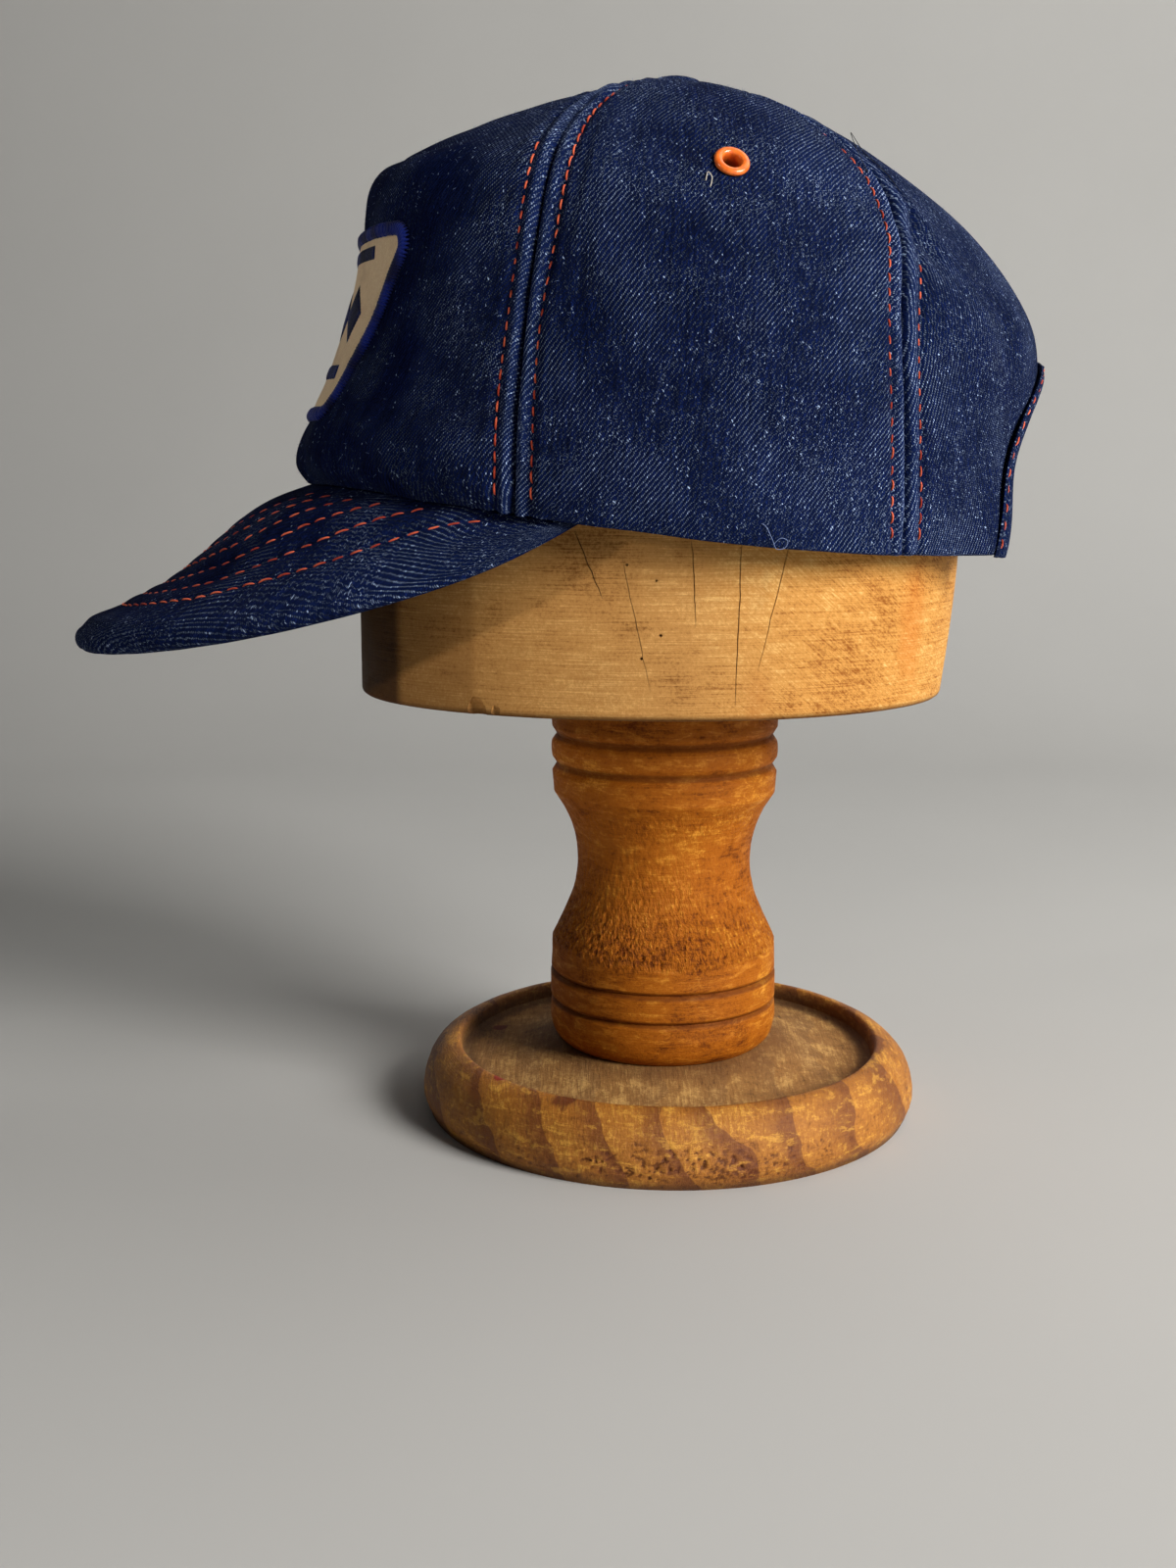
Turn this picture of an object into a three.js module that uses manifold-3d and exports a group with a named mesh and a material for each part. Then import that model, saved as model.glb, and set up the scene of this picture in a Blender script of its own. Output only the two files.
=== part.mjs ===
// Trucker cap on a turned wooden hat stand.
// Millimetres, +Z up. The origin is the middle of the stand's underside.
// The bill points to -Y and the wearer's left is +X.
import * as THREE from 'three';
import { mergeVertices } from 'three/addons/utils/BufferGeometryUtils.js';
import Module from 'manifold-3d';

const wasm = await Module();
wasm.setup();

// ---------------------------------------------------------------- driving dimensions
const GAP = 0.3; // clearance between neighbouring pieces
const WALL = 2; // panel thickness

// Crown: how far out and how high its outer face is at the front, the sides and the back,
// from the rim (first row) to the hole under the button (last row), at even shares of the panel.
const CROWN_ROWS = [
  { frontOut: 106.0, frontUp: 189.0, sideOut: 84.0, sideUp: 175.3, backOut: 95.0, backUp: 169.0 },
  { frontOut: 109.5, frontUp: 194.5, sideOut: 85.5, sideUp: 184.0, backOut: 96.0, backUp: 180.0 },
  { frontOut: 107.0, frontUp: 203.5, sideOut: 86.5, sideUp: 197.0, backOut: 97.5, backUp: 193.0 },
  { frontOut: 98.5, frontUp: 217.0, sideOut: 86.5, sideUp: 212.0, backOut: 101.0, backUp: 206.0 },
  { frontOut: 92.8, frontUp: 232.0, sideOut: 85.0, sideUp: 227.0, backOut: 104.0, backUp: 218.0 },
  { frontOut: 89.2, frontUp: 248.0, sideOut: 82.0, sideUp: 241.0, backOut: 103.0, backUp: 230.0 },
  { frontOut: 88.0, frontUp: 262.0, sideOut: 77.0, sideUp: 254.5, backOut: 97.0, backUp: 241.0 },
  { frontOut: 85.5, frontUp: 271.5, sideOut: 70.0, sideUp: 266.5, backOut: 88.5, backUp: 251.5 },
  { frontOut: 78.0, frontUp: 276.5, sideOut: 61.5, sideUp: 277.0, backOut: 78.0, backUp: 262.0 },
  { frontOut: 65.5, frontUp: 282.0, sideOut: 50.0, sideUp: 286.0, backOut: 64.0, backUp: 272.5 },
  { frontOut: 48.0, frontUp: 287.5, sideOut: 37.0, sideUp: 292.5, backOut: 48.0, backUp: 283.0 },
  { frontOut: 27.0, frontUp: 293.0, sideOut: 22.0, sideUp: 296.0, backOut: 28.0, backUp: 292.0 },
  { frontOut: 4.5, frontUp: 297.2, sideOut: 4.5, sideUp: 297.2, backOut: 4.5, backUp: 297.2 },
];

// Seams, in degrees round the stand's axis from +X towards +Y.
const FRONT_SEAM = { angle: -30, swing: 2.2 }; // swings forward half-way up
const BACK_SEAM = { angle: 41.5, swing: -2.2, turn: 11 }; // swings forward, then turns backward
const SEAM_DIP = { depth: 1.6, reach: 7 };

// Soft dents and swells of the cloth: where, how wide (degrees), how tall (share of the panel), how deep.
const DENTS = [
  { angle: -24, share: 0.52, wide: 3.5, tall: 0.2, depth: -1.6 }, // crease beside the left front seam
  { angle: 12, share: 0.72, wide: 7, tall: 0.09, depth: -1.6 }, // hollow over the left eyelet
  { angle: -8, share: 0.86, wide: 14, tall: 0.07, depth: 1.6 }, // swell on top, in front of it
  { angle: 62, share: 0.42, wide: 5, tall: 0.12, depth: -1.5 }, // fold beside the opening, left
  { angle: 116, share: 0.44, wide: 5, tall: 0.12, depth: -1.4 }, // fold beside the opening, right
  { angle: 203, share: 0.56, wide: 3.5, tall: 0.2, depth: -1.4 }, // crease beside the right front seam
  { angle: 178, share: 0.8, wide: 12, tall: 0.08, depth: 1.4 }, // swell on top, right
];

const OPENING = { middle: 90, halfAngle: 23.7, share: 0.335 }; // half-moon at the back
const BAND = { width: 8, lip: 1.5, thick: 1.6, clear: 0.5 };
const STRAP = { thick: 1.5, bottom: 0.012, top: 0.132, tuck: 40, overlap: 9.2 };
const SNAP = { count: 7, pitch: 4.4, peg: 2, hole: 2.45, share: 0.07, engaged: 4 };

const BILL = {
  thick: 3.5, // board and two layers of denim
  cornerThin: 0.45, // share of the thickness lost at the corners
  rootHalfAngle: 72.5, // along the rim, each way from the front
  halfWidth: 82,
  cornerForward: 25, // how far in front of the stand's axis the corners are
  length: 150.5, // from the corners to the tip
  squareness: 2.15, // exponent of the outline
  tipUp: 144.3,
  cornerRise: 33,
  riseExponent: 1.95,
  roll: 2, // lift where it leaves the crown
  rootInside: 2.5, // how far it reaches under the panel
};

const PATCH = { bottomHalf: 30, topHalf: 56, height: 46, share: 0.207, mmPerShare: 190, radius: 97 };
const PATCH_CLOTH = 0.8;
const PATCH_CLEAR = 0.5; // the flat-faced cloth under it stands out a little between its own edges
const PATCH_EDGE = { width: 3.4, thick: 1.4 };

const EYELET = { angle: 9.2, share: 0.6, outer: 4.6, hole: 2.4, barrel: 2.8, clear: 3.1 };
const BUTTON = { radius: 8.5, height: 4.2, shank: 3.8, shankDepth: 1.9 };

const BLOCK = { underside: 128, front: 91.8, back: 85, backAtFoot: 80.6, side: 72, wallTop: 150, edge: 1.5 };
const BLOCK_TOP = CROWN_ROWS.at(-1).frontUp - WALL - GAP; // the crown rests on it
const BLOCK_ROUNDNESS = 2; // exponent of the dome

const POST_OFFSET = -1.4; // the post stands a little in front of the foot's middle
// Post: radius at each height, from the foot up. Grooves are the short steps inward.
const POST_ROWS = [
  { radius: 31.0, up: 20.3 }, { radius: 33.4, up: 23.0 }, { radius: 34.6, up: 28.0 },
  { radius: 34.4, up: 32.4 }, { radius: 33.4, up: 33.4 }, { radius: 34.5, up: 34.4 },
  { radius: 34.5, up: 41.2 }, { radius: 33.4, up: 42.2 }, { radius: 34.3, up: 43.2 },
  { radius: 34.0, up: 52.0 }, { radius: 30.6, up: 59.0 }, { radius: 27.5, up: 67.0 },
  { radius: 26.2, up: 76.0 }, { radius: 27.3, up: 85.0 }, { radius: 30.4, up: 92.8 },
  { radius: 33.4, up: 97.5 }, { radius: 33.9, up: 103.5 }, { radius: 32.4, up: 106.0 },
  { radius: 33.9, up: 108.2 }, { radius: 33.9, up: 112.6 }, { radius: 32.4, up: 114.8 },
  { radius: 33.9, up: 117.2 }, { radius: 33.9, up: 127.7 },
];

// Foot: radius and height round the outside, over the rim and into the dish.
const BASE_ROWS = [
  { radius: 73.6, up: 0 }, { radius: 75.5, up: 4.5 }, { radius: 74.8, up: 11.0 },
  { radius: 71.8, up: 16.8 }, { radius: 67.6, up: 20.4 }, { radius: 64.2, up: 20.2 },
  { radius: 62.6, up: 17.0 }, { radius: 60.4, up: 14.6 }, { radius: 50.0, up: 15.8 },
  { radius: 38.0, up: 18.8 }, { radius: 34.0, up: 20.0 },
];

const COLOURS = {
  denim: { color: 0x1c2748, roughness: 0.92, metalness: 0 },
  strap: { color: 0x16171a, roughness: 0.45, metalness: 0 },
  orangePaint: { color: 0xe8622a, roughness: 0.35, metalness: 0.3 },
  cream: { color: 0xd9c39a, roughness: 0.9, metalness: 0 },
  blueEdge: { color: 0x1c3aa0, roughness: 0.8, metalness: 0 },
  blockWood: { color: 0xb98a4c, roughness: 0.55, metalness: 0 },
  postWood: { color: 0xa8642a, roughness: 0.5, metalness: 0 },
  baseWood: { color: 0x94622f, roughness: 0.6, metalness: 0 },
};

// ---------------------------------------------------------------- small helpers
const rad = THREE.MathUtils.degToRad;
const lerp = THREE.MathUtils.lerp;
const Y_AXIS = new THREE.Vector3(0, 1, 0);

function cubic(a, b, c, d, t) {
  return b + 0.5 * t * (c - a + t * (2 * a - 5 * b + 4 * c - d + t * (3 * (b - c) + d - a)));
}

// A smooth value of one column of CROWN_ROWS at a share of the way up.
function column(name, share) {
  const last = CROWN_ROWS.length - 1;
  const place = THREE.MathUtils.clamp(share, 0, 1) * last;
  const row = Math.min(Math.floor(place), last - 1);
  const at = (i) => CROWN_ROWS[THREE.MathUtils.clamp(i, 0, last)][name];
  return cubic(at(row - 1), at(row), at(row + 1), at(row + 2), place - row);
}

const frontSeamAngle = (share) => FRONT_SEAM.angle + FRONT_SEAM.swing * Math.sin(Math.PI * share);
const backSeamAngle = (share) => (
  BACK_SEAM.angle + BACK_SEAM.swing * Math.sin(2 * Math.PI * share) + BACK_SEAM.turn * share ** 2
);

function seamAngles(share) {
  const front = frontSeamAngle(share);
  const back = backSeamAngle(share);
  return [front, back, 90, 180 - back, 180 - front];
}

const turned = (degrees) => ((degrees % 360) + 540) % 360 - 180;

// The cloth's swell or hollow at a place on the crown, in millimetres.
function relief(angle, share, reach) {
  let lift = 0;
  const fade = Math.min(1, (reach / 30) ** 2); // nothing is left of the dips where the seams meet
  for (const seam of seamAngles(share)) {
    const away = rad(turned(angle - seam)) * reach;
    lift -= SEAM_DIP.depth * fade * Math.exp(-((away / SEAM_DIP.reach) ** 2));
  }
  for (const dent of DENTS) {
    const across = turned(angle - dent.angle) / dent.wide;
    const along = (share - dent.share) / dent.tall;
    lift += dent.depth * Math.exp(-(across ** 2) - along ** 2);
  }
  return lift;
}

// A point of the crown's outer face before any thickness.
function skin(angle, share) {
  const s = Math.sin(rad(angle));
  const c = Math.cos(rad(angle));
  const end = s < 0 ? 'front' : 'back';
  const base = 1 / Math.hypot(c / column('sideOut', share), s / column(`${end}Out`, share));
  const out = base + relief(angle, share, base);
  const frontUp = column('frontUp', share);
  const backUp = column('backUp', share);
  const sideUp = column('sideUp', share);
  const up = sideUp + (s * (backUp - frontUp)) / 2 + s * s * ((backUp + frontUp) / 2 - sideUp);
  const belowRim = Math.min(0, share) * 200;
  return new THREE.Vector3(out * c, out * s, up + belowRim);
}

// The same point moved outwards by lift, along the face's normal.
function crownPoint(angle, share, lift = 0) {
  const along = skin(angle + 0.5, share).sub(skin(angle - 0.5, share));
  const up = skin(angle, share + 0.01).sub(skin(angle, share - 0.01));
  if (share < 0.01) up.copy(skin(angle, 0.02)).sub(skin(angle, 0));
  return skin(angle, share).addScaledVector(along.cross(up).normalize(), lift);
}

function meshFrom(positions, indices) {
  const geometry = new THREE.BufferGeometry();
  geometry.setAttribute('position', new THREE.Float32BufferAttribute(positions, 3));
  geometry.setIndex(indices);
  return geometry;
}

// A closed wall: point(u, v, lift) is sampled on a grid at two lifts and its four sides are closed.
function sheet(point, columns, rows, outer, inner) {
  const positions = [];
  const indices = [];
  const layer = (columns + 1) * (rows + 1);
  for (const lift of [outer, inner]) {
    for (let j = 0; j <= rows; j++) {
      for (let i = 0; i <= columns; i++) positions.push(...point(i / columns, j / rows, lift));
    }
  }
  const at = (i, j, k) => k * layer + j * (columns + 1) + i;
  const quad = (a, b, c, d) => indices.push(a, b, c, a, c, d);
  for (let j = 0; j < rows; j++) {
    for (let i = 0; i < columns; i++) {
      quad(at(i, j, 0), at(i + 1, j, 0), at(i + 1, j + 1, 0), at(i, j + 1, 0));
      quad(at(i, j, 1), at(i, j + 1, 1), at(i + 1, j + 1, 1), at(i + 1, j, 1));
    }
    quad(at(0, j, 1), at(0, j, 0), at(0, j + 1, 0), at(0, j + 1, 1));
    quad(at(columns, j, 0), at(columns, j, 1), at(columns, j + 1, 1), at(columns, j + 1, 0));
  }
  for (let i = 0; i < columns; i++) {
    quad(at(i, 0, 0), at(i, 0, 1), at(i + 1, 0, 1), at(i + 1, 0, 0));
    quad(at(i, rows, 0), at(i + 1, rows, 0), at(i + 1, rows, 1), at(i, rows, 1));
  }
  return meshFrom(positions, indices);
}

// A body through equal sections, each a list of points. With an outline of the section it is
// closed by an end cap each way; without one the last section joins the first.
function sweep(sections, outline) {
  const count = sections[0].length;
  const positions = sections.flat().flatMap((p) => [...p]);
  const indices = [];
  const spans = outline ? sections.length - 1 : sections.length;
  for (let k = 0; k < spans; k++) {
    const next = (k + 1) % sections.length;
    for (let i = 0; i < count; i++) {
      const j = (i + 1) % count;
      const [a, b, c, d] = [k * count + i, k * count + j, next * count + j, next * count + i];
      indices.push(a, b, c, a, c, d);
    }
  }
  if (outline) {
    const last = (sections.length - 1) * count;
    for (const [i, j, k] of THREE.ShapeUtils.triangulateShape(outline, [])) {
      indices.push(i, k, j, last + i, last + j, last + k);
    }
  }
  return meshFrom(positions, indices);
}

// ---------------------------------------------------------------- joining and cutting
function toSolid(geometry) {
  const bare = geometry.clone();
  bare.deleteAttribute('normal');
  bare.deleteAttribute('uv');
  const merged = mergeVertices(bare, 1e-4);
  const vertProperties = new Float32Array(merged.attributes.position.array);
  const triVerts = new Uint32Array(merged.index.array);
  return new wasm.Manifold(new wasm.Mesh({ numProp: 3, vertProperties, triVerts }));
}

function fromSolid(solid) {
  const { vertProperties, triVerts } = solid.getMesh();
  return meshFrom(Array.from(vertProperties), Array.from(triVerts));
}

// A pin through the crown's face at a place, its axis along the face's normal.
function pin(angle, share, radius, from, to, sides) {
  const start = crownPoint(angle, share, from);
  const end = crownPoint(angle, share, to);
  const geometry = new THREE.CylinderGeometry(radius, radius, start.distanceTo(end), sides);
  const direction = end.clone().sub(start).normalize();
  geometry.applyQuaternion(new THREE.Quaternion().setFromUnitVectors(Y_AXIS, direction));
  return geometry.translate(...start.add(end).multiplyScalar(0.5));
}

// ---------------------------------------------------------------- crown
// Columns crowd towards the seams, where the cloth turns in.
const crowded = (u) => (1 - Math.cos(Math.PI * u)) / 2 * 0.7 + u * 0.3;

function panel(fromAngle, toAngle, columns, rows) {
  const place = (u, v, lift) => {
    const radius = Math.hypot(...skin(fromAngle(v), v).toArray().slice(0, 2));
    const clear = THREE.MathUtils.radToDeg(GAP / 2 / radius);
    return crownPoint(lerp(fromAngle(v) + clear, toAngle(v) - clear, crowded(u)), v, lift);
  };
  return sheet(place, columns, rows, 0, -WALL);
}

const mirrored = (seam) => (share) => 180 - seam(share);
const straight = (angle) => () => angle;

// ---------------------------------------------------------------- half-moon opening
const openingEdge = (turn) => ({
  angle: OPENING.middle - OPENING.halfAngle * Math.cos(turn),
  share: OPENING.share * Math.sin(turn),
});

function openingCutter() {
  const steps = 24;
  const outline = [];
  for (let i = 0; i <= steps; i++) outline.push(openingEdge((Math.PI * i) / steps));
  outline.push({ angle: OPENING.middle + OPENING.halfAngle, share: -0.05 });
  outline.push({ angle: OPENING.middle - OPENING.halfAngle, share: -0.05 });
  const hub = { angle: OPENING.middle, share: 0.1 };
  const positions = [];
  for (const lift of [8, -12]) {
    for (const { angle, share } of [...outline, hub]) positions.push(...crownPoint(angle, share, lift));
  }
  const count = outline.length;
  const layer = count + 1;
  const indices = [];
  for (let i = 0; i < count; i++) {
    const j = (i + 1) % count;
    indices.push(i, count, j, layer + i, layer + j, layer + count);
    indices.push(i, j, layer + j, i, layer + j, layer + i);
  }
  return toSolid(meshFrom(positions, indices));
}

// The band's section: across the face from the cloth's cut edge, and outwards.
const BAND_SECTION = [
  new THREE.Vector2(-BAND.clear - BAND.lip, -WALL),
  new THREE.Vector2(-BAND.clear, -WALL),
  new THREE.Vector2(-BAND.clear, BAND.clear),
  new THREE.Vector2(BAND.width, BAND.clear),
  new THREE.Vector2(BAND.width, BAND.clear + BAND.thick),
  new THREE.Vector2(-BAND.clear - BAND.lip, BAND.clear + BAND.thick),
];

function openingBand() {
  const steps = 22;
  const sections = [];
  for (let k = 0; k <= steps; k++) {
    const turn = (Math.PI * k) / steps;
    const here = openingEdge(turn);
    const radius = column('backOut', here.share);
    const mmPerDegree = rad(1) * radius;
    const mmPerShare = skin(90, here.share + 0.02).distanceTo(skin(90, here.share)) / 0.02;
    const across = -Math.cos(turn) * OPENING.share * mmPerShare;
    const along = Math.sin(turn) * OPENING.halfAngle * mmPerDegree;
    const size = Math.hypot(across, along);
    sections.push(BAND_SECTION.map(({ x, y }) => crownPoint(
      here.angle + (x * across) / size / mmPerDegree,
      Math.max(0, here.share + (x * along) / size / mmPerShare),
      y,
    )));
  }
  return sweep(sections, BAND_SECTION);
}

// ---------------------------------------------------------------- snap straps
function strap(fromAngle, toAngle, outer) {
  const place = (u, v, lift) =>
    crownPoint(lerp(fromAngle, toAngle, u), lerp(STRAP.bottom, STRAP.top, v), lift);
  return toSolid(sheet(place, 14, 2, outer, outer - STRAP.thick));
}

function snapStraps() {
  const outer = -WALL - GAP;
  const inner = outer - STRAP.thick - GAP;
  let holed = strap(OPENING.middle - STRAP.tuck, OPENING.middle + STRAP.overlap, outer);
  let pegged = strap(OPENING.middle - STRAP.overlap, OPENING.middle + STRAP.tuck, inner);
  for (let i = 0; i < SNAP.count; i++) {
    const fromMiddle = (i - (SNAP.engaged - 1) / 2) * SNAP.pitch;
    const hole = pin(OPENING.middle - fromMiddle, SNAP.share, SNAP.hole, 2, inner, 12);
    const peg = pin(OPENING.middle + fromMiddle, SNAP.share, SNAP.peg, outer + 0.5, inner - 0.5, 10);
    holed = holed.subtract(toSolid(hole));
    pegged = pegged.add(toSolid(peg));
  }
  return { holed: fromSolid(holed), pegged: fromSolid(pegged) };
}

// ---------------------------------------------------------------- bill
function billPoint(u, v) {
  const side = 1 - 2 * u;
  const rootAngle = -90 + side * BILL.rootHalfAngle;
  const rim = skin(rootAngle, 0);
  const radius = Math.hypot(rim.x, rim.y);
  const root = rim.clone().multiplyScalar((radius - BILL.rootInside) / radius).setZ(rim.z - GAP);
  const turn = rad(side * 90);
  const forward = Math.abs(Math.cos(turn)) ** (2 / BILL.squareness);
  const edge = new THREE.Vector3(
    Math.sign(side) * BILL.halfWidth * Math.abs(Math.sin(turn)) ** (2 / BILL.squareness),
    -BILL.cornerForward - BILL.length * forward,
    BILL.tipUp + BILL.cornerRise * (1 - forward) ** BILL.riseExponent,
  );
  const point = root.lerp(edge, v);
  point.z += BILL.roll * Math.sin(2 * Math.PI * v) * (1 - v / 2) * (1 - side * side);
  return point;
}

function billLifted(u, v, lift) {
  const across = billPoint(Math.min(1, u + 0.01), v).sub(billPoint(Math.max(0, u - 0.01), v));
  const along = billPoint(u, Math.min(1, v + 0.02)).sub(billPoint(u, Math.max(0, v - 0.02)));
  const thinned = lift * (1 - BILL.cornerThin * Math.abs(1 - 2 * u) ** 5);
  return billPoint(u, v).addScaledVector(across.cross(along).normalize(), thinned);
}

// ---------------------------------------------------------------- patch
// Patch coordinates: millimetres across from the middle and up from its lower edge.
function patchPoint(across, up, lift) {
  const angle = -90 + THREE.MathUtils.radToDeg(across / PATCH.radius);
  return crownPoint(angle, PATCH.share + up / PATCH.mmPerShare, lift);
}

const patchHalf = (up) => lerp(PATCH.bottomHalf, PATCH.topHalf, up / PATCH.height);

function patchGround() {
  const place = (u, v, lift) => {
    const up = v * PATCH.height;
    return patchPoint((2 * u - 1) * patchHalf(up), up, lift);
  };
  return sheet(place, 14, 6, PATCH_CLEAR + PATCH_CLOTH, PATCH_CLEAR);
}

function patchBorder() {
  const corners = [
    new THREE.Vector2(-PATCH.bottomHalf, 0), new THREE.Vector2(PATCH.bottomHalf, 0),
    new THREE.Vector2(PATCH.topHalf, PATCH.height), new THREE.Vector2(-PATCH.topHalf, PATCH.height),
  ];
  const outward = corners.map((corner, i) => {
    const side = corners[(i + 1) % 4].clone().sub(corner).normalize();
    return new THREE.Vector2(side.y, -side.x);
  });
  const sections = [];
  const stepsPerSide = [8, 6, 12, 6];
  corners.forEach((corner, i) => {
    for (let k = 0; k < stepsPerSide[i]; k++) {
      const place = corner.clone().lerp(corners[(i + 1) % 4], k / stepsPerSide[i]);
      const away = outward[i].clone();
      if (k === 0) away.add(outward[(i + 3) % 4]);
      away.normalize();
      const near = k === 0 ? GAP * 1.3 : GAP;
      const ring = [
        [near, PATCH_CLEAR], [near, PATCH_CLEAR + PATCH_EDGE.thick],
        [PATCH_EDGE.width, PATCH_CLEAR + PATCH_EDGE.thick], [PATCH_EDGE.width, PATCH_CLEAR],
      ];
      sections.push(ring.map(([out, lift]) =>
        patchPoint(place.x + away.x * out, place.y + away.y * out, lift)));
    }
  });
  return sweep(sections);
}

// ---------------------------------------------------------------- trims
function lathe(profile, segments) {
  return new THREE.LatheGeometry(profile.map(([radius, up]) => new THREE.Vector2(radius, up)), segments);
}

function eyelet(angle) {
  const { outer, hole, barrel } = EYELET;
  const back = -WALL - 0.5;
  const profile = [
    [hole, back - 0.7], [outer - 0.4, back - 0.6], [outer - 0.4, back], [barrel, back], [barrel, 0.35],
    [outer, 0.35], [outer, 0.8], [outer - 0.7, 1.3], [hole + 0.6, 1.3], [hole, 0.9], [hole, back - 0.7],
  ];
  const geometry = lathe(profile, 20);
  const place = crownPoint(angle, EYELET.share);
  const normal = crownPoint(angle, EYELET.share, 1).sub(place);
  geometry.applyQuaternion(new THREE.Quaternion().setFromUnitVectors(Y_AXIS, normal));
  return geometry.translate(...place);
}

function topButton() {
  const { radius, height, shank, shankDepth } = BUTTON;
  const seat = CROWN_ROWS.at(-1).frontUp + GAP;
  const profile = [[0, seat - shankDepth], [shank, seat - shankDepth], [shank, seat], [radius, seat]];
  const steps = 4;
  for (let i = 1; i <= steps; i++) {
    const turn = (Math.PI / 2) * (i / steps);
    profile.push([radius * Math.cos(turn), seat + 0.8 + (height - 0.8) * Math.sin(turn)]);
  }
  profile.at(-1)[0] = 0;
  return lathe(profile, 24).rotateX(Math.PI / 2);
}

// ---------------------------------------------------------------- stand
// The block is a round profile stretched to an oval that is longer behind than at its foot.
function hatBlock() {
  const profile = [
    [0, BLOCK.underside], [1 - BLOCK.edge / BLOCK.side, BLOCK.underside], [1, BLOCK.underside + BLOCK.edge],
  ];
  const steps = 10;
  for (let i = 0; i <= steps; i++) {
    const radius = Math.cos((Math.PI / 2) * (i / steps));
    const dome = BLOCK_TOP - BLOCK.wallTop;
    profile.push([radius, BLOCK.wallTop + dome * (1 - radius ** BLOCK_ROUNDNESS) ** (1 / BLOCK_ROUNDNESS)]);
  }
  profile.at(-1)[0] = 0;
  const geometry = lathe(profile, 44).rotateX(Math.PI / 2);
  const position = geometry.attributes.position;
  for (let i = 0; i < position.count; i++) {
    const grown = Math.min(1, (position.getZ(i) - BLOCK.underside) / 45);
    const back = lerp(BLOCK.backAtFoot, BLOCK.back, grown);
    const y = position.getY(i);
    position.setX(i, position.getX(i) * BLOCK.side);
    position.setY(i, y * (y < 0 ? BLOCK.front : back));
  }
  return geometry;
}

function turnedWood(rows, segments) {
  const profile = rows.map(({ radius, up }) => [radius, up]);
  return lathe([[0, rows[0].up], ...profile, [0, rows.at(-1).up]], segments).rotateX(Math.PI / 2);
}

// ---------------------------------------------------------------- the object
const group = new THREE.Group();

function add(name, geometry, colour) {
  const mesh = new THREE.Mesh(geometry, new THREE.MeshStandardMaterial(colour));
  mesh.name = name;
  group.add(mesh);
  return mesh;
}

const moon = openingCutter();
const eyeletHole = (angle) => toSolid(pin(angle, EYELET.share, EYELET.clear, 3, -WALL - 3, 16));
const sidePanel = (from, to, angle) => (
  fromSolid(toSolid(panel(from, to, 14, 14)).subtract(eyeletHole(angle)))
);
const backPanel = (from, to) => fromSolid(toSolid(panel(from, to, 10, 14)).subtract(moon));

add('front_panel', panel((share) => -180 - frontSeamAngle(share), frontSeamAngle, 20, 14), COLOURS.denim);
add('side_panel_left', sidePanel(frontSeamAngle, backSeamAngle, EYELET.angle), COLOURS.denim);
add('side_panel_right',
  sidePanel(mirrored(backSeamAngle), mirrored(frontSeamAngle), 180 - EYELET.angle), COLOURS.denim);
add('back_panel_left', backPanel(backSeamAngle, straight(90)), COLOURS.denim);
add('back_panel_right', backPanel(straight(90), mirrored(backSeamAngle)), COLOURS.denim);
add('bill', sheet(billLifted, 28, 6, 0, -BILL.thick), COLOURS.denim);
add('opening_band', openingBand(), COLOURS.denim);
const { holed, pegged } = snapStraps();
add('snap_strap_left', holed, COLOURS.strap);
add('snap_strap_right', pegged, COLOURS.strap);
add('eyelet_left', eyelet(EYELET.angle), COLOURS.orangePaint);
add('eyelet_right', eyelet(180 - EYELET.angle), COLOURS.orangePaint);
add('top_button', topButton(), COLOURS.denim);
add('patch_ground', patchGround(), COLOURS.cream);
add('patch_border', patchBorder(), COLOURS.blueEdge);
add('hat_block', hatBlock(), COLOURS.blockWood);
add('stand_post', turnedWood(POST_ROWS, 28), COLOURS.postWood).position.y = POST_OFFSET;
add('stand_base', turnedWood(BASE_ROWS, 40), COLOURS.baseWood);

export default group;
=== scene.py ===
# %% [markdown]
# # A denim trucker cap on a turned wooden stand
# The cap is five panels of dark indigo twill, a stitched bill, a patch with an overlocked edge, two
# enamelled eyelets and a half-moon opening with snap straps. It sits on a hat block with a turned
# post and a dished foot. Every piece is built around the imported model, which gives the sizes.

# %% Load the frame
import math
import random

import bmesh
import bpy
import numpy as np
from mathutils import Matrix, Vector, noise
from mathutils.bvhtree import BVHTree


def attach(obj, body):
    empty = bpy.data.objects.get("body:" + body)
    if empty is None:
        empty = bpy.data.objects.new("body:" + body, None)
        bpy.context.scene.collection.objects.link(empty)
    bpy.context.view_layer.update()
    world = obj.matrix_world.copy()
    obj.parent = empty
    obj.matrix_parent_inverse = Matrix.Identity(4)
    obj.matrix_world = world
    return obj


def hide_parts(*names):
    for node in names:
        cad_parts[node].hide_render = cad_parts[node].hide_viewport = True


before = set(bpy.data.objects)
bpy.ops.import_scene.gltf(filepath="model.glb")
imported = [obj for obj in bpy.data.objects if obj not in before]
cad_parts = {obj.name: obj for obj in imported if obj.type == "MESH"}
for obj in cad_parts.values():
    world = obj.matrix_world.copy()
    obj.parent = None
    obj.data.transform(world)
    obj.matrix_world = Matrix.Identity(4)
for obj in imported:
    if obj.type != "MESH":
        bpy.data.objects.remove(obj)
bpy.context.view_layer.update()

MM = 0.001

# %% [markdown]
# ## Camera and light
# The cap is seen from the wearer's left and a little from above. Daylight comes from a large soft
# source behind the wearer, to the right of the view, so the front of the cap stays dark. A weak
# wide source near the camera opens the shadows.

# %% Camera
CAMERA_PLACE = (0.512, -0.0245, 0.191)
CAMERA_TURN = (math.radians(79.8), 0, math.radians(90))


def add_object(name, data):
    """Puts a new object with this data into the scene."""
    made = bpy.data.objects.new(name, data)
    bpy.context.scene.collection.objects.link(made)
    return made


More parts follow.
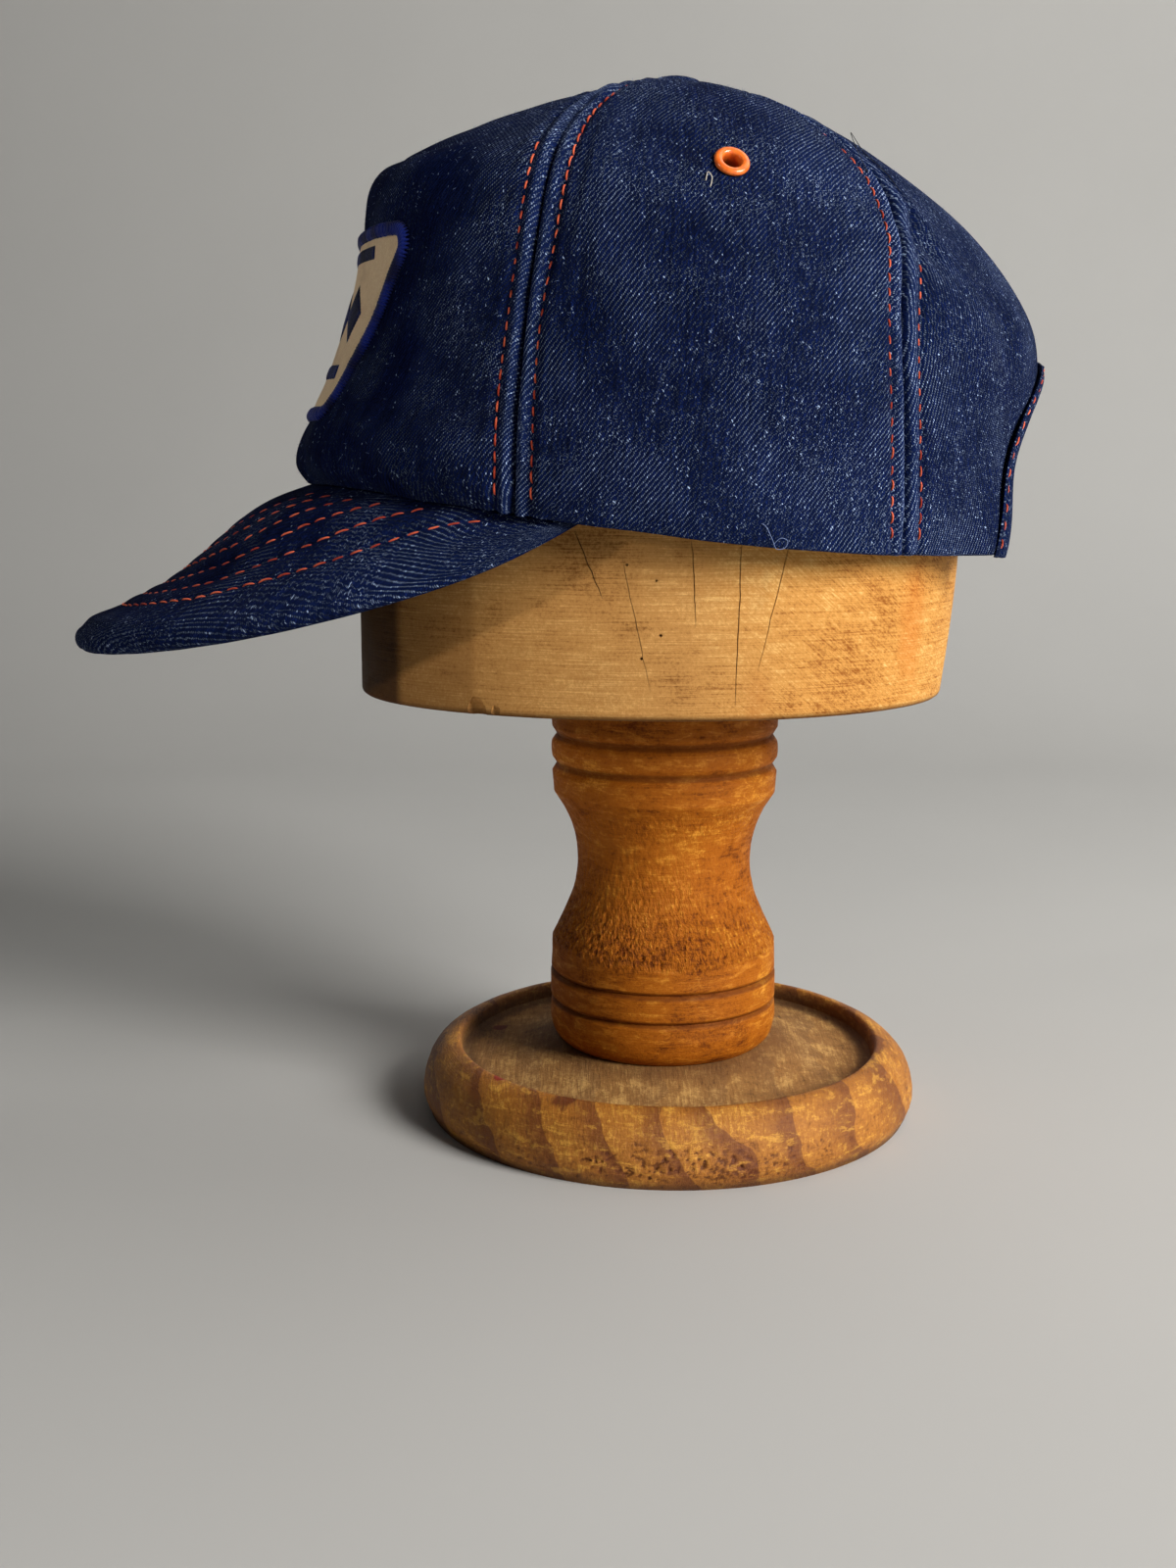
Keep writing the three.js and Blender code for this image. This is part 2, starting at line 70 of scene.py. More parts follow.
camera = add_object("camera", bpy.data.cameras.new("camera"))
camera.data.lens = 39.375
camera.data.sensor_width = 36
camera.location = CAMERA_PLACE
camera.rotation_euler = CAMERA_TURN
bpy.context.scene.camera = camera
print("camera at", CAMERA_PLACE)

# %% Lights
CAP_MIDDLE = (0, 0, 0.2)
PATCH_MIDDLE = (0.03, -0.095, 0.232)


def lamp(name, kind, place, aim, watts, tint):
    """Adds a lamp that points at aim, and returns its settings."""
    made = add_object(name, bpy.data.lights.new(name, kind))
    made.location = place
    made.rotation_euler = (Vector(aim) - made.location).to_track_quat("-Z", "Y").to_euler()
    made.data.energy = watts
    made.data.color = tint
    return made.data


lamp("window", "AREA", (0.92, 1.12, 0.80), CAP_MIDDLE, 36, (1.0, 0.97, 0.93)).size = 0.7
lamp("room", "AREA", (1.3, -0.5, 1.2), CAP_MIDDLE, 0.35, (0.93, 0.96, 1.0)).size = 1.6
# A narrow lamp lifts the patch, which faces away from the window.
narrow = lamp("on_patch", "SPOT", (0.9, -1.35, 0.62), PATCH_MIDDLE, 150, (1.0, 0.95, 0.88))
narrow.spot_size = math.radians(4.8)
narrow.spot_blend = 1.0
narrow.shadow_soft_size = 0.12
lamp("backdrop_wash", "AREA", (-0.35, 0.9, 1.5), CAP_MIDDLE, 7, (1.0, 0.98, 0.95)).size = 1.2
bpy.context.scene.view_settings.view_transform = "Standard"

world = bpy.data.worlds.new("studio")
world.use_nodes = True
background = world.node_tree.nodes["Background"].inputs
background["Color"].default_value = (0.80, 0.83, 0.88, 1)
background["Strength"].default_value = 0.024
bpy.context.scene.world = world
print(len(bpy.data.lights), "lamps")

# %% [markdown]
# ## Helpers for materials
# A node tree is easier to read as a list of formulas than as a list of links. `Tree` adds a node,
# fills its sockets with numbers or with the outputs of other nodes, and hands back its output.
# A pattern that several finishes share is a group, built once and placed in each of them.

# %% Tree
class Tree:
    def __init__(self, tree):
        self.tree = tree

    def fill(self, socket, value):
        if isinstance(value, bpy.types.NodeSocket):
            self.tree.links.new(value, socket)
        else:
            socket.default_value = value

    def fill_named(self, sockets, **values):
        """Fills sockets by their names, with _ for a space."""
        for label, value in values.items():
            self.fill(sockets[label.replace("_", " ")], value)

    def add(self, kind, values=(), **settings):
        """Adds a node; values are (socket name or number, value) pairs."""
        made = self.tree.nodes.new(kind)
        for name, value in settings.items():
            setattr(made, name, value)
        for name, value in values:
            self.fill(made.inputs[name], value)
        return made

    def math(self, operation, *values):
        made = self.add("ShaderNodeMath", enumerate(values), operation=operation)
        return made.outputs[0]

    def times(self, first, second):
        return self.math("MULTIPLY", first, second)

    def plus(self, start, value, weight):
        """Start, and value times its weight."""
        return self.math("MULTIPLY_ADD", value, weight, start)

    def minus(self, first, second):
        return self.math("SUBTRACT", first, second)

    def away(self, first, second):
        """How far two values are from each other."""
        return self.math("ABSOLUTE", self.minus(first, second))

    def noise(self, place, scale, detail=2.0, rough=0.5, distortion=0.0):
        pairs = [("Vector", place), ("Scale", scale), ("Detail", detail)]
        pairs += [("Roughness", rough), ("Distortion", distortion)]
        return self.add("ShaderNodeTexNoise", pairs).outputs["Fac"]

    def mapped(self, place, rotation=(0, 0, 0), scale=(1, 1, 1)):
        pairs = [("Vector", place), ("Rotation", rotation), ("Scale", scale)]
        return self.add("ShaderNodeMapping", pairs).outputs[0]

    def stretched(self, place, *scale):
        """The same place with each axis made longer or shorter."""
        return self.mapped(place, scale=scale)

    def ramp(self, value, low, high, to_low=0.0, to_high=1.0):
        """Runs smoothly from to_low to to_high while value runs from low to high."""
        pairs = [("Value", value), ("From Min", low), ("From Max", high)]
        pairs += [("To Min", to_low), ("To Max", to_high)]
        made = self.add("ShaderNodeMapRange", pairs, interpolation_type="SMOOTHSTEP")
        return made.outputs["Result"]

    def mix(self, share, *tones):
        """From the first tone to the second as share goes from 0 to 1. A tone is an output or
        what colour takes."""
        first, second = (colour(*tone) if isinstance(tone, tuple) else tone for tone in tones)
        pairs = [(0, share), (6, first), (7, second)]
        return self.add("ShaderNodeMix", pairs, data_type="RGBA").outputs[2]

    def bump(self, height, millimetres):
        pairs = [("Height", height), ("Distance", millimetres * MM), ("Strength", 1.0)]
        return self.add("ShaderNodeBump", pairs).outputs[0]


def colour(red, green, blue):
    """A colour given as the eye sees it, from 0 to 255, for a node's linear socket."""
    def linear(part):
        part = part / 255
        return part / 12.92 if part <= 0.04045 else ((part + 0.055) / 1.055) ** 2.4
    return (linear(red), linear(green), linear(blue), 1.0)


def new_group(name, numbers, draw):
    """A shader group whose inputs are a place and some numbers with their usual values. The
    function draw(tree, given) makes its nodes and returns its outputs by name."""
    group = bpy.data.node_groups.new(name, "ShaderNodeTree")
    group.interface.new_socket("Place", in_out="INPUT", socket_type="NodeSocketVector")
    for label, value in numbers.items():
        socket = group.interface.new_socket(label, in_out="INPUT", socket_type="NodeSocketFloat")
        socket.default_value = value
    tree = Tree(group)
    results = draw(tree, group.nodes.new("NodeGroupInput").outputs)
    for label in results:
        group.interface.new_socket(label, in_out="OUTPUT", socket_type="NodeSocketFloat")
    tree.fill_named(group.nodes.new("NodeGroupOutput").inputs, **results)
    return group


def new_material(name, **constants):
    """A material and its tree; constants are set on the Principled sockets themselves."""
    made = bpy.data.materials.new(name)
    made.use_nodes = True
    tree = Tree(made.node_tree)
    shader = made.node_tree.nodes["Principled BSDF"].inputs
    tree.fill_named(shader, **constants)
    return made, tree, shader


def placed_group(tree, group, **values):
    """Places a group in a material and returns its outputs by name."""
    made = tree.add("ShaderNodeGroup", node_tree=group)
    tree.fill_named(made.inputs, **values)
    return made.outputs


def object_place(tree):
    """Object coordinates in millimetres."""
    return tree.stretched(tree.add("ShaderNodeTexCoord").outputs["Object"], 1000.0, 1000.0, 1000.0)


def surface_place(tree):
    """The piece's own map, in millimetres along the cloth."""
    return tree.add("ShaderNodeUVMap", uv_map="cloth").outputs[0]


def worn_here(tree):
    """The wear or damage stored on the piece's points; on the crown and the bill it also holds painted
    light and shade.
    """
    return tree.add("ShaderNodeAttribute", attribute_name="wear").outputs["Fac"]


# %% [markdown]
# ## Denim
# Denim is a twill. Each dark warp thread passes over three pale cross threads and under one,
# and the next warp does the same one step higher, so the places where the pale weft peeps out line
# up in slanting ridges about a millimetre apart. The group counts threads both ways and works out
# which one is on top at each point. The map of each piece runs along the ridges on its first axis,
# so one group draws every panel. Wear uncovers more of the pale thread.

# %% The twill group
WARP_PITCH = 0.30
WEFT_PITCH = 0.46
RIDGE_ANGLE = math.atan2(WEFT_PITCH, WARP_PITCH)


def draw_twill(tree, given):
    place = tree.mapped(given["Place"], (0, 0, RIDGE_ANGLE), given["Scale"])
    apart = tree.add("ShaderNodeSeparateXYZ", [(0, place)]).outputs
    # Threads wander slowly, and jitter more where the cloth is loose.
    wander = tree.noise(place, 0.08, 3.0, 0.6)
    jitter = tree.minus(tree.noise(place, 0.9, 2.0, 0.6), 0.5)
    loose = tree.ramp(tree.noise(place, 0.05, 2.0, 0.5), 0.42, 0.62, 2.0, 0.5)
    jitter = tree.times(jitter, loose)
    x = tree.plus(tree.math("ADD", jitter, apart[0]), wander, 0.5)
    y = tree.plus(tree.plus(apart[1], jitter, -0.8), wander, 0.3)
    # The number of the warp thread, and where in its four steps the point lies.
    across = tree.math("DIVIDE", x, WARP_PITCH)
    warp = tree.math("FLOOR", across)
    rounded = tree.math("SINE", tree.times(tree.math("FRACT", across), math.pi))
    quarter = tree.math("DIVIDE", tree.minus(tree.math("DIVIDE", y, WEFT_PITCH), warp), 4.0)
    within = tree.math("FRACT", quarter)
    number = tree.add("ShaderNodeCombineXYZ", [(0, warp), (1, tree.math("FLOOR", quarter))]).outputs[0]
    dice = tree.add("ShaderNodeTexWhiteNoise", [("Vector", number)], noise_dimensions="2D").outputs[0]
    pale = tree.ramp(tree.away(within, 0.13), 0.17, 0.06)
    over = tree.ramp(tree.away(within, 0.62), 0.42, 0.22)
    fuzz = tree.noise(place, 2.6, 3.0, 0.7)
    patchy = tree.noise(place, 0.03, 4.0, 0.6)
    streak = tree.noise(tree.stretched(place, 1.3, 0.07, 1.0), 1.0, 3.0, 0.6)
    # How much of the pale weft shows: common faint flecks, rare bright ones and lined places.
    worn = tree.math("ADD", tree.ramp(patchy, 0.36, 0.68, 0.0, 0.4), given["Wear"])
    common = tree.math("POWER", dice, tree.plus(2.4, worn, -1.3))
    rare = tree.ramp(dice, tree.plus(0.95, worn, -0.12), 1.0, 0.0, 0.6)
    lined = tree.ramp(tree.noise(place, 0.045, 2.0, 0.5), 0.42, 0.66, 0.01, 0.19)
    lit = tree.plus(rare, common, tree.plus(0.13, worn, 0.55))
    lit = tree.math("ADD", lit, tree.plus(lined, worn, 0.12))
    fleck = tree.times(tree.times(pale, rounded), lit)
    fleck = tree.times(fleck, tree.ramp(fuzz, 0.3, 0.62, 0.35, 1.3))
    body = tree.times(tree.times(over, rounded), tree.plus(0.45, dice, 0.7))
    body = tree.times(body, tree.ramp(fuzz, 0.3, 0.65, 0.35, 1.2))
    height = tree.plus(tree.times(rounded, tree.plus(over, pale, 0.5)), fuzz, 0.8)
    return {"Warp": body, "Fleck": fleck, "Patchy": patchy, "Streak": streak, "Height": height}


TWILL = new_group("twill", {"Scale": 1.0, "Wear": 0.0}, draw_twill)


# %% The denim material
def denim_material():
    made, tree, shader = new_material(
        "denim", Roughness=0.9, Specular_IOR_Level=0.02, Sheen_Weight=0.02, Sheen_Roughness=0.4,
        Sheen_Tint=colour(120, 140, 220))
    place = surface_place(tree)
    wear = worn_here(tree)
    cloth = placed_group(tree, TWILL, Place=place, Wear=wear)
    deep = tree.mix(tree.ramp(cloth["Patchy"], 0.35, 0.7), (2, 5, 22), (7, 14, 42))
    thread = tree.mix(tree.ramp(cloth["Streak"], 0.35, 0.65), (10, 21, 60), (22, 39, 97))
    body = tree.mix(cloth["Warp"], deep, thread)
    rusty = tree.ramp(tree.noise(place, 0.05, 3.0, 0.6), 0.55, 0.72, 0, 0.3)
    body = tree.mix(rusty, body, (18, 20, 34))
    # The wear brings painted light on the side towards the window, and painted shade on the front and
    # the bill, into this mix and into the twill's flecks.
    faded_and_lit = tree.mix(tree.times(wear, 0.22), body, (48, 72, 140))
    flecked = tree.mix(cloth["Fleck"], faded_and_lit, (176, 200, 240))
    tree.fill_named(shader, Base_Color=flecked, Normal=tree.bump(cloth["Height"], 0.2))
    return made


DENIM = denim_material()
print("denim threads", WARP_PITCH, "and", WEFT_PITCH, "mm apart")

# %% [markdown]
# ## Helpers for shapes
# Most soft pieces are a grid laid over a curved surface. A grid made by an operator is moved, point
# by point, onto that surface by a function of u and v, which run from 0 to 1. A second grid behind
# it, bridged round the edge, gives the cloth its thickness, so the wall is closed and its inner
# face stays calm where the outer one has seams and stitches.

# %% Finish a bmesh into an object
def mesh_from(bm, name):
    mesh = bpy.data.meshes.new(name)
    bm.to_mesh(mesh)
    bm.free()
    return mesh


def dressed(name, mesh, material):
    """A smooth object with this mesh and material."""
    mesh.polygons.foreach_set("use_smooth", np.ones(len(mesh.polygons), bool))
    mesh.materials.append(material)
    return add_object(name, mesh)


def finish_piece(bm, name, material):
    """Turns the faces outwards and makes the object."""
    bmesh.ops.recalc_face_normals(bm, faces=bm.faces)
    return dressed(name, mesh_from(bm, name), material)


def finish_turned(bm, name, material, sharp):
    """Finishes a piece drawn in millimetres, with edges that bend more than sharp left crisp."""
    bmesh.ops.scale(bm, verts=bm.verts, vec=(MM, MM, MM))
    made = finish_piece(bm, name, material)
    made.data.set_sharp_from_angle(angle=math.radians(sharp))
    return made


def ready(made, slot, *nodes):
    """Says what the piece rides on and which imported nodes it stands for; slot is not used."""
    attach(made, "root")
    if nodes:
        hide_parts(*nodes)
    made.data.calc_loop_triangles()
    print(made.name, len(made.data.loop_triangles), "triangles")
    return made


def place_all(verts, places):
    """Moves each point to its place, given in millimetres."""
    for vert, place in zip(verts, places * MM):
        vert.co = place


def write_map(bm, flat, wear=None):
    """Stores the place on the flat cloth as a map, and the wear as an attribute."""
    layer = bm.loops.layers.uv.new("cloth")
    for face in bm.faces:
        for loop in face.loops:
            loop[layer].uv = flat[loop.vert.index]
    worn = bm.verts.layers.float.new("wear")
    if wear is not None:
        for vert, value in zip(bm.verts, wear):
            vert[worn] = value


def turned_map(x, y, lean):
    """Flat places turned so that the first axis runs along the twill, which leans by degrees."""
    c = math.cos(math.radians(lean))
    s = math.sin(math.radians(lean))
    return np.stack([x * c + y * s, y * c - x * s], axis=1)


def grid(columns, rows, copies=1):
    """Equal grids in one bmesh, and the u and v of the first one's points."""
    bm = bmesh.new()
    for _ in range(copies):
        bmesh.ops.create_grid(bm, x_segments=columns, y_segments=rows, size=0.5)
    bm.verts.index_update()
    bm.verts.ensure_lookup_table()
    flat = np.array([vert.co[:2] for vert in bm.verts[:len(bm.verts) // copies]]) + 0.5
    return bm, flat[:, 0], flat[:, 1]


def open_edges(bm):
    return [edge for edge in bm.edges if edge.is_boundary]


def bridge_walls(bm):
    """Closes the rims between the two grids, each open loop with its partner."""
    half = len(bm.faces) // 2
    bm.faces.ensure_lookup_table()
    bmesh.ops.reverse_faces(bm, faces=bm.faces[half:])

    def middle(loop):
        return sum((vert.co for vert in loop["verts"]), Vector()) / len(loop["verts"])

    rims = loops_of(open_edges(bm))
    while rims:
        rim = rims.pop(0)
        near = min(rims, key=lambda other: (abs(len(other["verts"]) - len(rim["verts"])),
                                            (middle(other) - middle(rim)).length))
        rims.remove(near)
        bmesh.ops.bridge_loops(bm, edges=rim["edges"] + near["edges"])


def loops_of(edges):
    """Sorts boundary edges into connected loops."""
    left = set(edges)
    loops = []
    while left:
        stack = [left.pop()]
        found = {"edges": [], "verts": set()}
        while stack:
            edge = stack.pop()
            found["edges"].append(edge)
            for vert in edge.verts:
                found["verts"].add(vert)
                for other in vert.link_edges:
                    if other in left:
                        left.discard(other)
                        stack.append(other)
        loops.append(found)
    return loops


def rolled_tube(around, along, place, closed=False):
    """A grid rolled into a tube. place(i, v) gives each point from its number in the section and
    its share of the way, and its flat place. Its ends are welded together, or else capped."""
    bm, u, v = grid(around, along)
    points, flat, wear = place(np.rint(u * around).astype(int), v)
    write_map(bm, flat, wear)
    place_all(bm.verts, points)
    bmesh.ops.remove_doubles(bm, verts=bm.verts, dist=0.004 * MM)
    if not closed:
        bmesh.ops.holes_fill(bm, edges=open_edges(bm), sides=0)
    return bm


# %% Turned shapes
def arc(middle, reach, degrees):
    """Points on an oval round a middle, one for each angle, with its two reaches."""
    return [(middle[0] + reach[0] * math.cos(math.radians(a)),
             middle[1] + reach[1] * math.sin(math.radians(a))) for a in degrees]


def uneven(place, *spans):
    """Smooth noise between -1 and 1, stretched by a span each way."""
    return noise.noise(Vector([part / span for part, span in zip(place, spans)]))


def spun(profile, steps, ring=False):
    """A solid spun from a profile of (radius, height), which is a ring or ends on the axis."""
    bm = bmesh.new()
    verts = [bm.verts.new((radius, 0, height)) for radius, height in profile]
    ends = zip(verts, verts[1:] + verts[:1] if ring else verts[1:])
    edges = [bm.edges.new(pair) for pair in ends]
    bmesh.ops.spin(bm, geom=verts + edges, cent=(0, 0, 0), axis=(0, 0, 1), angle=2 * math.pi,
                   steps=steps, use_merge=True)
    bmesh.ops.remove_doubles(bm, verts=bm.verts, dist=1e-4)
    return bm


# %% [markdown]
# ## The crown's surface
# The crown is one surface from which the five panels are cut. At each height it has a reach to the
# front, the sides and the back, and it is an oval between them. Angles run round the stand's axis
# from the wearer's left towards the back. The share runs from 0 at the rim to 1 at the button.

# %% Crown measures, in millimetres
CROWN = {
    "front_out": [106, 109.5, 107, 98.5, 92.8, 89.2, 88, 85.5, 78, 65.5, 48, 27, 4.5],
    "front_up": [189, 194.5, 203.5, 217, 232, 248, 262, 271.5, 276.5, 282, 287.5, 293, 297.2],
    "side_out": [84, 85.5, 86.5, 86.5, 85, 82, 77, 70, 61.5, 50, 37, 22, 4.5],
    "side_up": [175.3, 184, 197, 212, 227, 241, 254.5, 266.5, 277, 286, 292.5, 296, 297.2],
    "back_out": [95, 96, 97.5, 101, 104, 103, 97, 88.5, 78, 64, 48, 28, 4.5],
    "back_up": [169, 180, 193, 206, 218, 230, 241, 251.5, 262, 272.5, 283, 292, 297.2],
}
WALL = 2.0
GAP = 0.3
SEAM_DIP = {"depth": 1.6, "reach": 7.0}
# Soft dents and swells: angle, share, half-width in degrees, half-height in shares, depth.
DENTS = [
    {"angle": -24, "share": 0.52, "wide": 3.5, "tall": 0.2, "depth": -1.6},
    {"angle": 12, "share": 0.72, "wide": 7, "tall": 0.09, "depth": -1.6},
    {"angle": -8, "share": 0.86, "wide": 14, "tall": 0.07, "depth": 1.6},
    {"angle": 62, "share": 0.42, "wide": 5, "tall": 0.12, "depth": -1.5},
    {"angle": 116, "share": 0.44, "wide": 5, "tall": 0.12, "depth": -1.4},
    {"angle": 203, "share": 0.56, "wide": 3.5, "tall": 0.2, "depth": -1.4},
    {"angle": 178, "share": 0.8, "wide": 12, "tall": 0.08, "depth": 1.4},
]
# Creases that only the cloth's face shows.
CREASES = [
    {"angle": -90, "share": 0.655, "wide": 34, "tall": 0.014, "depth": -1.6},
    {"angle": -21.5, "share": 0.56, "wide": 1.5, "tall": 0.13, "depth": -1.0},
    {"angle": 16, "share": 0.64, "wide": 3.2, "tall": 0.05, "depth": -0.8},
    {"angle": 47, "share": 0.80, "wide": 1.6, "tall": 0.03, "depth": -1.3},
    {"angle": 48.5, "share": 0.53, "wide": 2.4, "tall": 0.035, "depth": -2.2},
    {"angle": 50.5, "share": 0.60, "wide": 3.0, "tall": 0.05, "depth": 1.2},
    {"angle": -18.5, "share": 0.40, "wide": 1.8, "tall": 0.16, "depth": -0.8},
    {"angle": -12, "share": 0.62, "wide": 2.6, "tall": 0.10, "depth": -0.8},
    {"angle": 78, "share": 0.14, "wide": 6, "tall": 0.03, "depth": -0.9},
]


def rounded_between(a, b, c, d, t):
    """A smooth way from b to c as t goes from 0 to 1, in line with a before and d after."""
    return b + 0.5 * t * (c - a + t * (2 * a - 5 * b + 4 * c - d + t * (3 * (b - c) + d - a)))


def column(name, share):
    """A smooth value of one crown measure at each share."""
    values = np.array(CROWN[name], float)
    last = len(values) - 1
    place = np.clip(share, 0, 1) * last
    row = np.minimum(np.floor(place).astype(int), last - 1)
    near = (values[np.clip(row + step, 0, last)] for step in (-1, 0, 1, 2))
    return rounded_between(*near, place - row)


def hill(distance, width):
    """1 in the middle, falling softly to nothing at about twice the width."""
    return np.exp(-((distance / width) ** 2))


def front_seam(share):
    return -30 + 2.2 * np.sin(np.pi * share)


def back_seam(share):
    forward = 3.6 * hill(share - 0.4, 0.17)
    return 41.5 - 2.2 * np.sin(2 * np.pi * share) + 11 * share**2 - forward


SEAMS = {
    "front_left": front_seam,
    "back_left": back_seam,
    "back_middle": lambda share: 90 + 0 * share,
    "back_right": lambda share: 180 - back_seam(share),
    "front_right": lambda share: 180 - front_seam(share),
}


def turned(degrees):
    """The same turn, counted from -180 to 180."""
    return (degrees % 360 + 540) % 360 - 180


def oval(angle, share):
    """How far the crown's oval reaches at an angle."""
    s = np.sin(np.radians(angle))
    c = np.cos(np.radians(angle))
    end = np.where(s < 0, column("front_out", share), column("back_out", share))
    return 1 / np.hypot(c / column("side_out", share), s / end)


def from_seam(seam, angle, share, reach):
    """Millimetres round the crown from a seam to each point."""
    return np.radians(turned(angle - seam(share))) * reach


def swell(dents, angle, share):
    lift = np.zeros_like(angle)
    for dent in dents:
        across = hill(turned(angle - dent["angle"]), dent["wide"])
        lift += dent["depth"] * across * hill(share - dent["share"], dent["tall"])
    return lift


# The half-moon opening at the back: half a wave of shares over this many degrees each way.
ARCH = {"middle": 90.0, "half_angle": 23.7, "share": 0.335}
# The cloth at the opening's two corners stands off a little.
FLARE = {"out": 3.6, "share": 0.04, "tall": 0.12, "wide": 8.0}


def skin(angle, share):
    """The crown's outer face without stitches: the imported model's, with the rim's flare."""
    reach = oval(angle, share)
    out = reach + swell(DENTS, angle, share)
    fade = np.minimum(1, (reach / 30) ** 2)
    for seam in SEAMS.values():
        away = from_seam(seam, angle, share, reach)
        out -= SEAM_DIP["depth"] * fade * hill(away, SEAM_DIP["reach"])
    corner = np.abs(turned(angle - ARCH["middle"])) - ARCH["half_angle"]
    flare = hill(share - FLARE["share"], FLARE["tall"]) * hill(corner, FLARE["wide"])
    out += FLARE["out"] * flare
    s = np.sin(np.radians(angle))
    c = np.cos(np.radians(angle))
    front, side, back = (column(name, share) for name in ("front_up", "side_up", "back_up"))
    up = side + s * (back - front) / 2 + s * s * ((back + front) / 2 - side)
    return np.stack([out * c, out * s, up + np.minimum(0, share) * 200], axis=1)


def unit(vectors):
    return vectors / np.linalg.norm(vectors, axis=-1, keepdims=True)


def lengths_along(line):
    """How far along a line of points each one lies."""
    return np.concatenate([[0], np.cumsum(np.linalg.norm(np.diff(line, axis=0), axis=1))])


def normals(angle, share):
    along = skin(angle + 0.5, share) - skin(angle - 0.5, share)
    low = np.where(share < 0.01, 0.0, share - 0.01)
    high = np.where(share < 0.01, 0.02, share + 0.01)
    return unit(np.cross(along, skin(angle, high) - skin(angle, low)))


def crown(angle, share, lift=0.0):
    """Points on the crown, moved outwards by lift."""
    angle, share = np.broadcast_arrays(np.asarray(angle, float), np.asarray(share, float))
    lift = np.broadcast_to(np.asarray(lift, float), angle.shape)
    return skin(angle, share) + normals(angle, share) * lift[:, None]


# %% [markdown]
# ## Seams and stitch rows
# A seam of a real cap is two folded edges side by side over a taped allowance, held by a row of
# orange stitches on each side. The fold rolls into a dark joint, the cloth puffs up between joint
# and stitches, and each stitch pulls a small dimple. All three are bumps of the surface that
# depend on how far a point is from the seam and how far along it lies.

# %% Relief of the sewn seams
ROW_OFFSET = 4.7
STITCH_PITCH = 4.2
JOINT_END = 0.625
SEAM_STEPS = np.linspace(0, 1, 401)
SEAM_LENGTHS = {}
for seam_name, seam in SEAMS.items():
    SEAM_LENGTHS[seam_name] = lengths_along(crown(seam(SEAM_STEPS), SEAM_STEPS))
    print("seam", seam_name, round(SEAM_LENGTHS[seam_name][-1], 1), "mm long")


def row_place(length, side):
    """Millimetres from the seam to a stitch row on one side of it, which wanders a little."""
    return ROW_OFFSET + 0.25 * np.sin(length / 11 + side)


def seam_relief(angle, share):
    """Joint, puff and stitch dimples of every seam, which fade out under the button."""
    reach = oval(angle, share)
    fade = np.clip((reach - 8) / 22, 0, 1)
    lift = np.zeros_like(angle)
    for name, seam in SEAMS.items():
        away = from_seam(seam, angle, share, reach)
        length = np.interp(share, SEAM_STEPS, SEAM_LENGTHS[name])
        side = np.sign(away)
        beat = np.cos(2 * np.pi * length / STITCH_PITCH)
        slow = np.sin(length / 7.3 + side) * np.sin(length / 3.1 + 2 * side)
        distance = np.abs(away)
        row = row_place(length, side)
        lift += fade * (0.95 + 0.35 * slow) * hill(distance - 2.3, 1.5)
        lift -= fade * (0.60 + 0.28 * beat) * hill(distance - row, 0.85)
        lift += fade * 0.22 * beat * np.sin(length * 0.6) * hill(distance - row - 2.2, 2.0)
        lift += fade * 0.35 * hill(distance - row - 2.4, 1.8)
        open_joint = 1.0
        if name.startswith("front"):
            open_joint = np.clip((JOINT_END - share) / 0.03, 0.15, 1)
        lift -= (0.5 + fade) * open_joint * hill(distance, 0.55)
    return lift


def ripples(angle, share):
    """Slow unevenness of washed cloth."""
    a = np.radians(angle)
    lift = 0.60 * np.sin(5.0 * a + 9.0 * share + 0.6) * np.sin(11.0 * share + 2.1 * a)
    lift += 0.30 * np.sin(13.0 * a - 17.0 * share) + 0.18 * np.sin(23.0 * a + 31.0 * share + 1.0)
    return lift * np.clip(1.15 - share, 0.15, 1)


RIM_ROLL = {"height": 1.5, "depth": 1.5}
MM_PER_SHARE = 155.0


def face_relief(angle, share):
    """Everything that lifts or sinks the cloth's outer face."""
    rim = np.clip(1 - share * MM_PER_SHARE / RIM_ROLL["height"], 0, 1)
    lift = seam_relief(angle, share) + ripples(angle, share) + swell(CREASES, angle, share)
    return lift - RIM_ROLL["depth"] * (1 - np.sqrt(np.clip(1 - rim**2, 0, 1)))


# %% [markdown]
# ## The crown panels
# The panels could be one surface with drawn seams, but real panels meet in a narrow open joint that
# catches a shadow. So each is its own closed wall, and its grid columns crowd towards the seams,
# where the cloth turns in. The map is the flat pattern piece: millimetres from its middle line and
# up from the rim, turned by the lean of the twill on that piece.

# %% Panel wall
CROWDING = 0.72
# The flat pattern is measured on a net of this many rows, and a column a degree to each side.
NET_ROWS = 60
NET_HALF = 80


def crowded(u):
    """Even steps drawn towards both ends."""
    return (1 - np.cos(np.pi * u)) / 2 * CROWDING + u * (1 - CROWDING)


def flat_place(angle, share, middle):
    """Place on the flat pattern: across from the panel's middle line along the cloth, and up."""
    ladder = np.linspace(0, 1, NET_ROWS + 1)
    turns = np.arange(-NET_HALF, NET_HALF + 1.0)
    a, s = np.meshgrid(middle + turns, ladder)
    points = skin(a.ravel(), s.ravel()).reshape(len(ladder), len(turns), 3)
    across = np.array([lengths_along(row) for row in points])
    across -= across[:, NET_HALF:NET_HALF + 1]
    up = lengths_along(points[:, NET_HALF])
    row = np.clip(share, 0, 1) * NET_ROWS
    low = np.minimum(row.astype(int), NET_ROWS - 1)
    column_at = turned(angle - middle) + NET_HALF
    left = np.clip(column_at.astype(int), 0, 2 * NET_HALF - 1)
    r, c = row - low, column_at - left
    x = ((across[low, left] * (1 - c) + across[low, left + 1] * c) * (1 - r)
         + (across[low + 1, left] * (1 - c) + across[low + 1, left + 1] * c) * r)
    return x, np.interp(share, ladder, up)


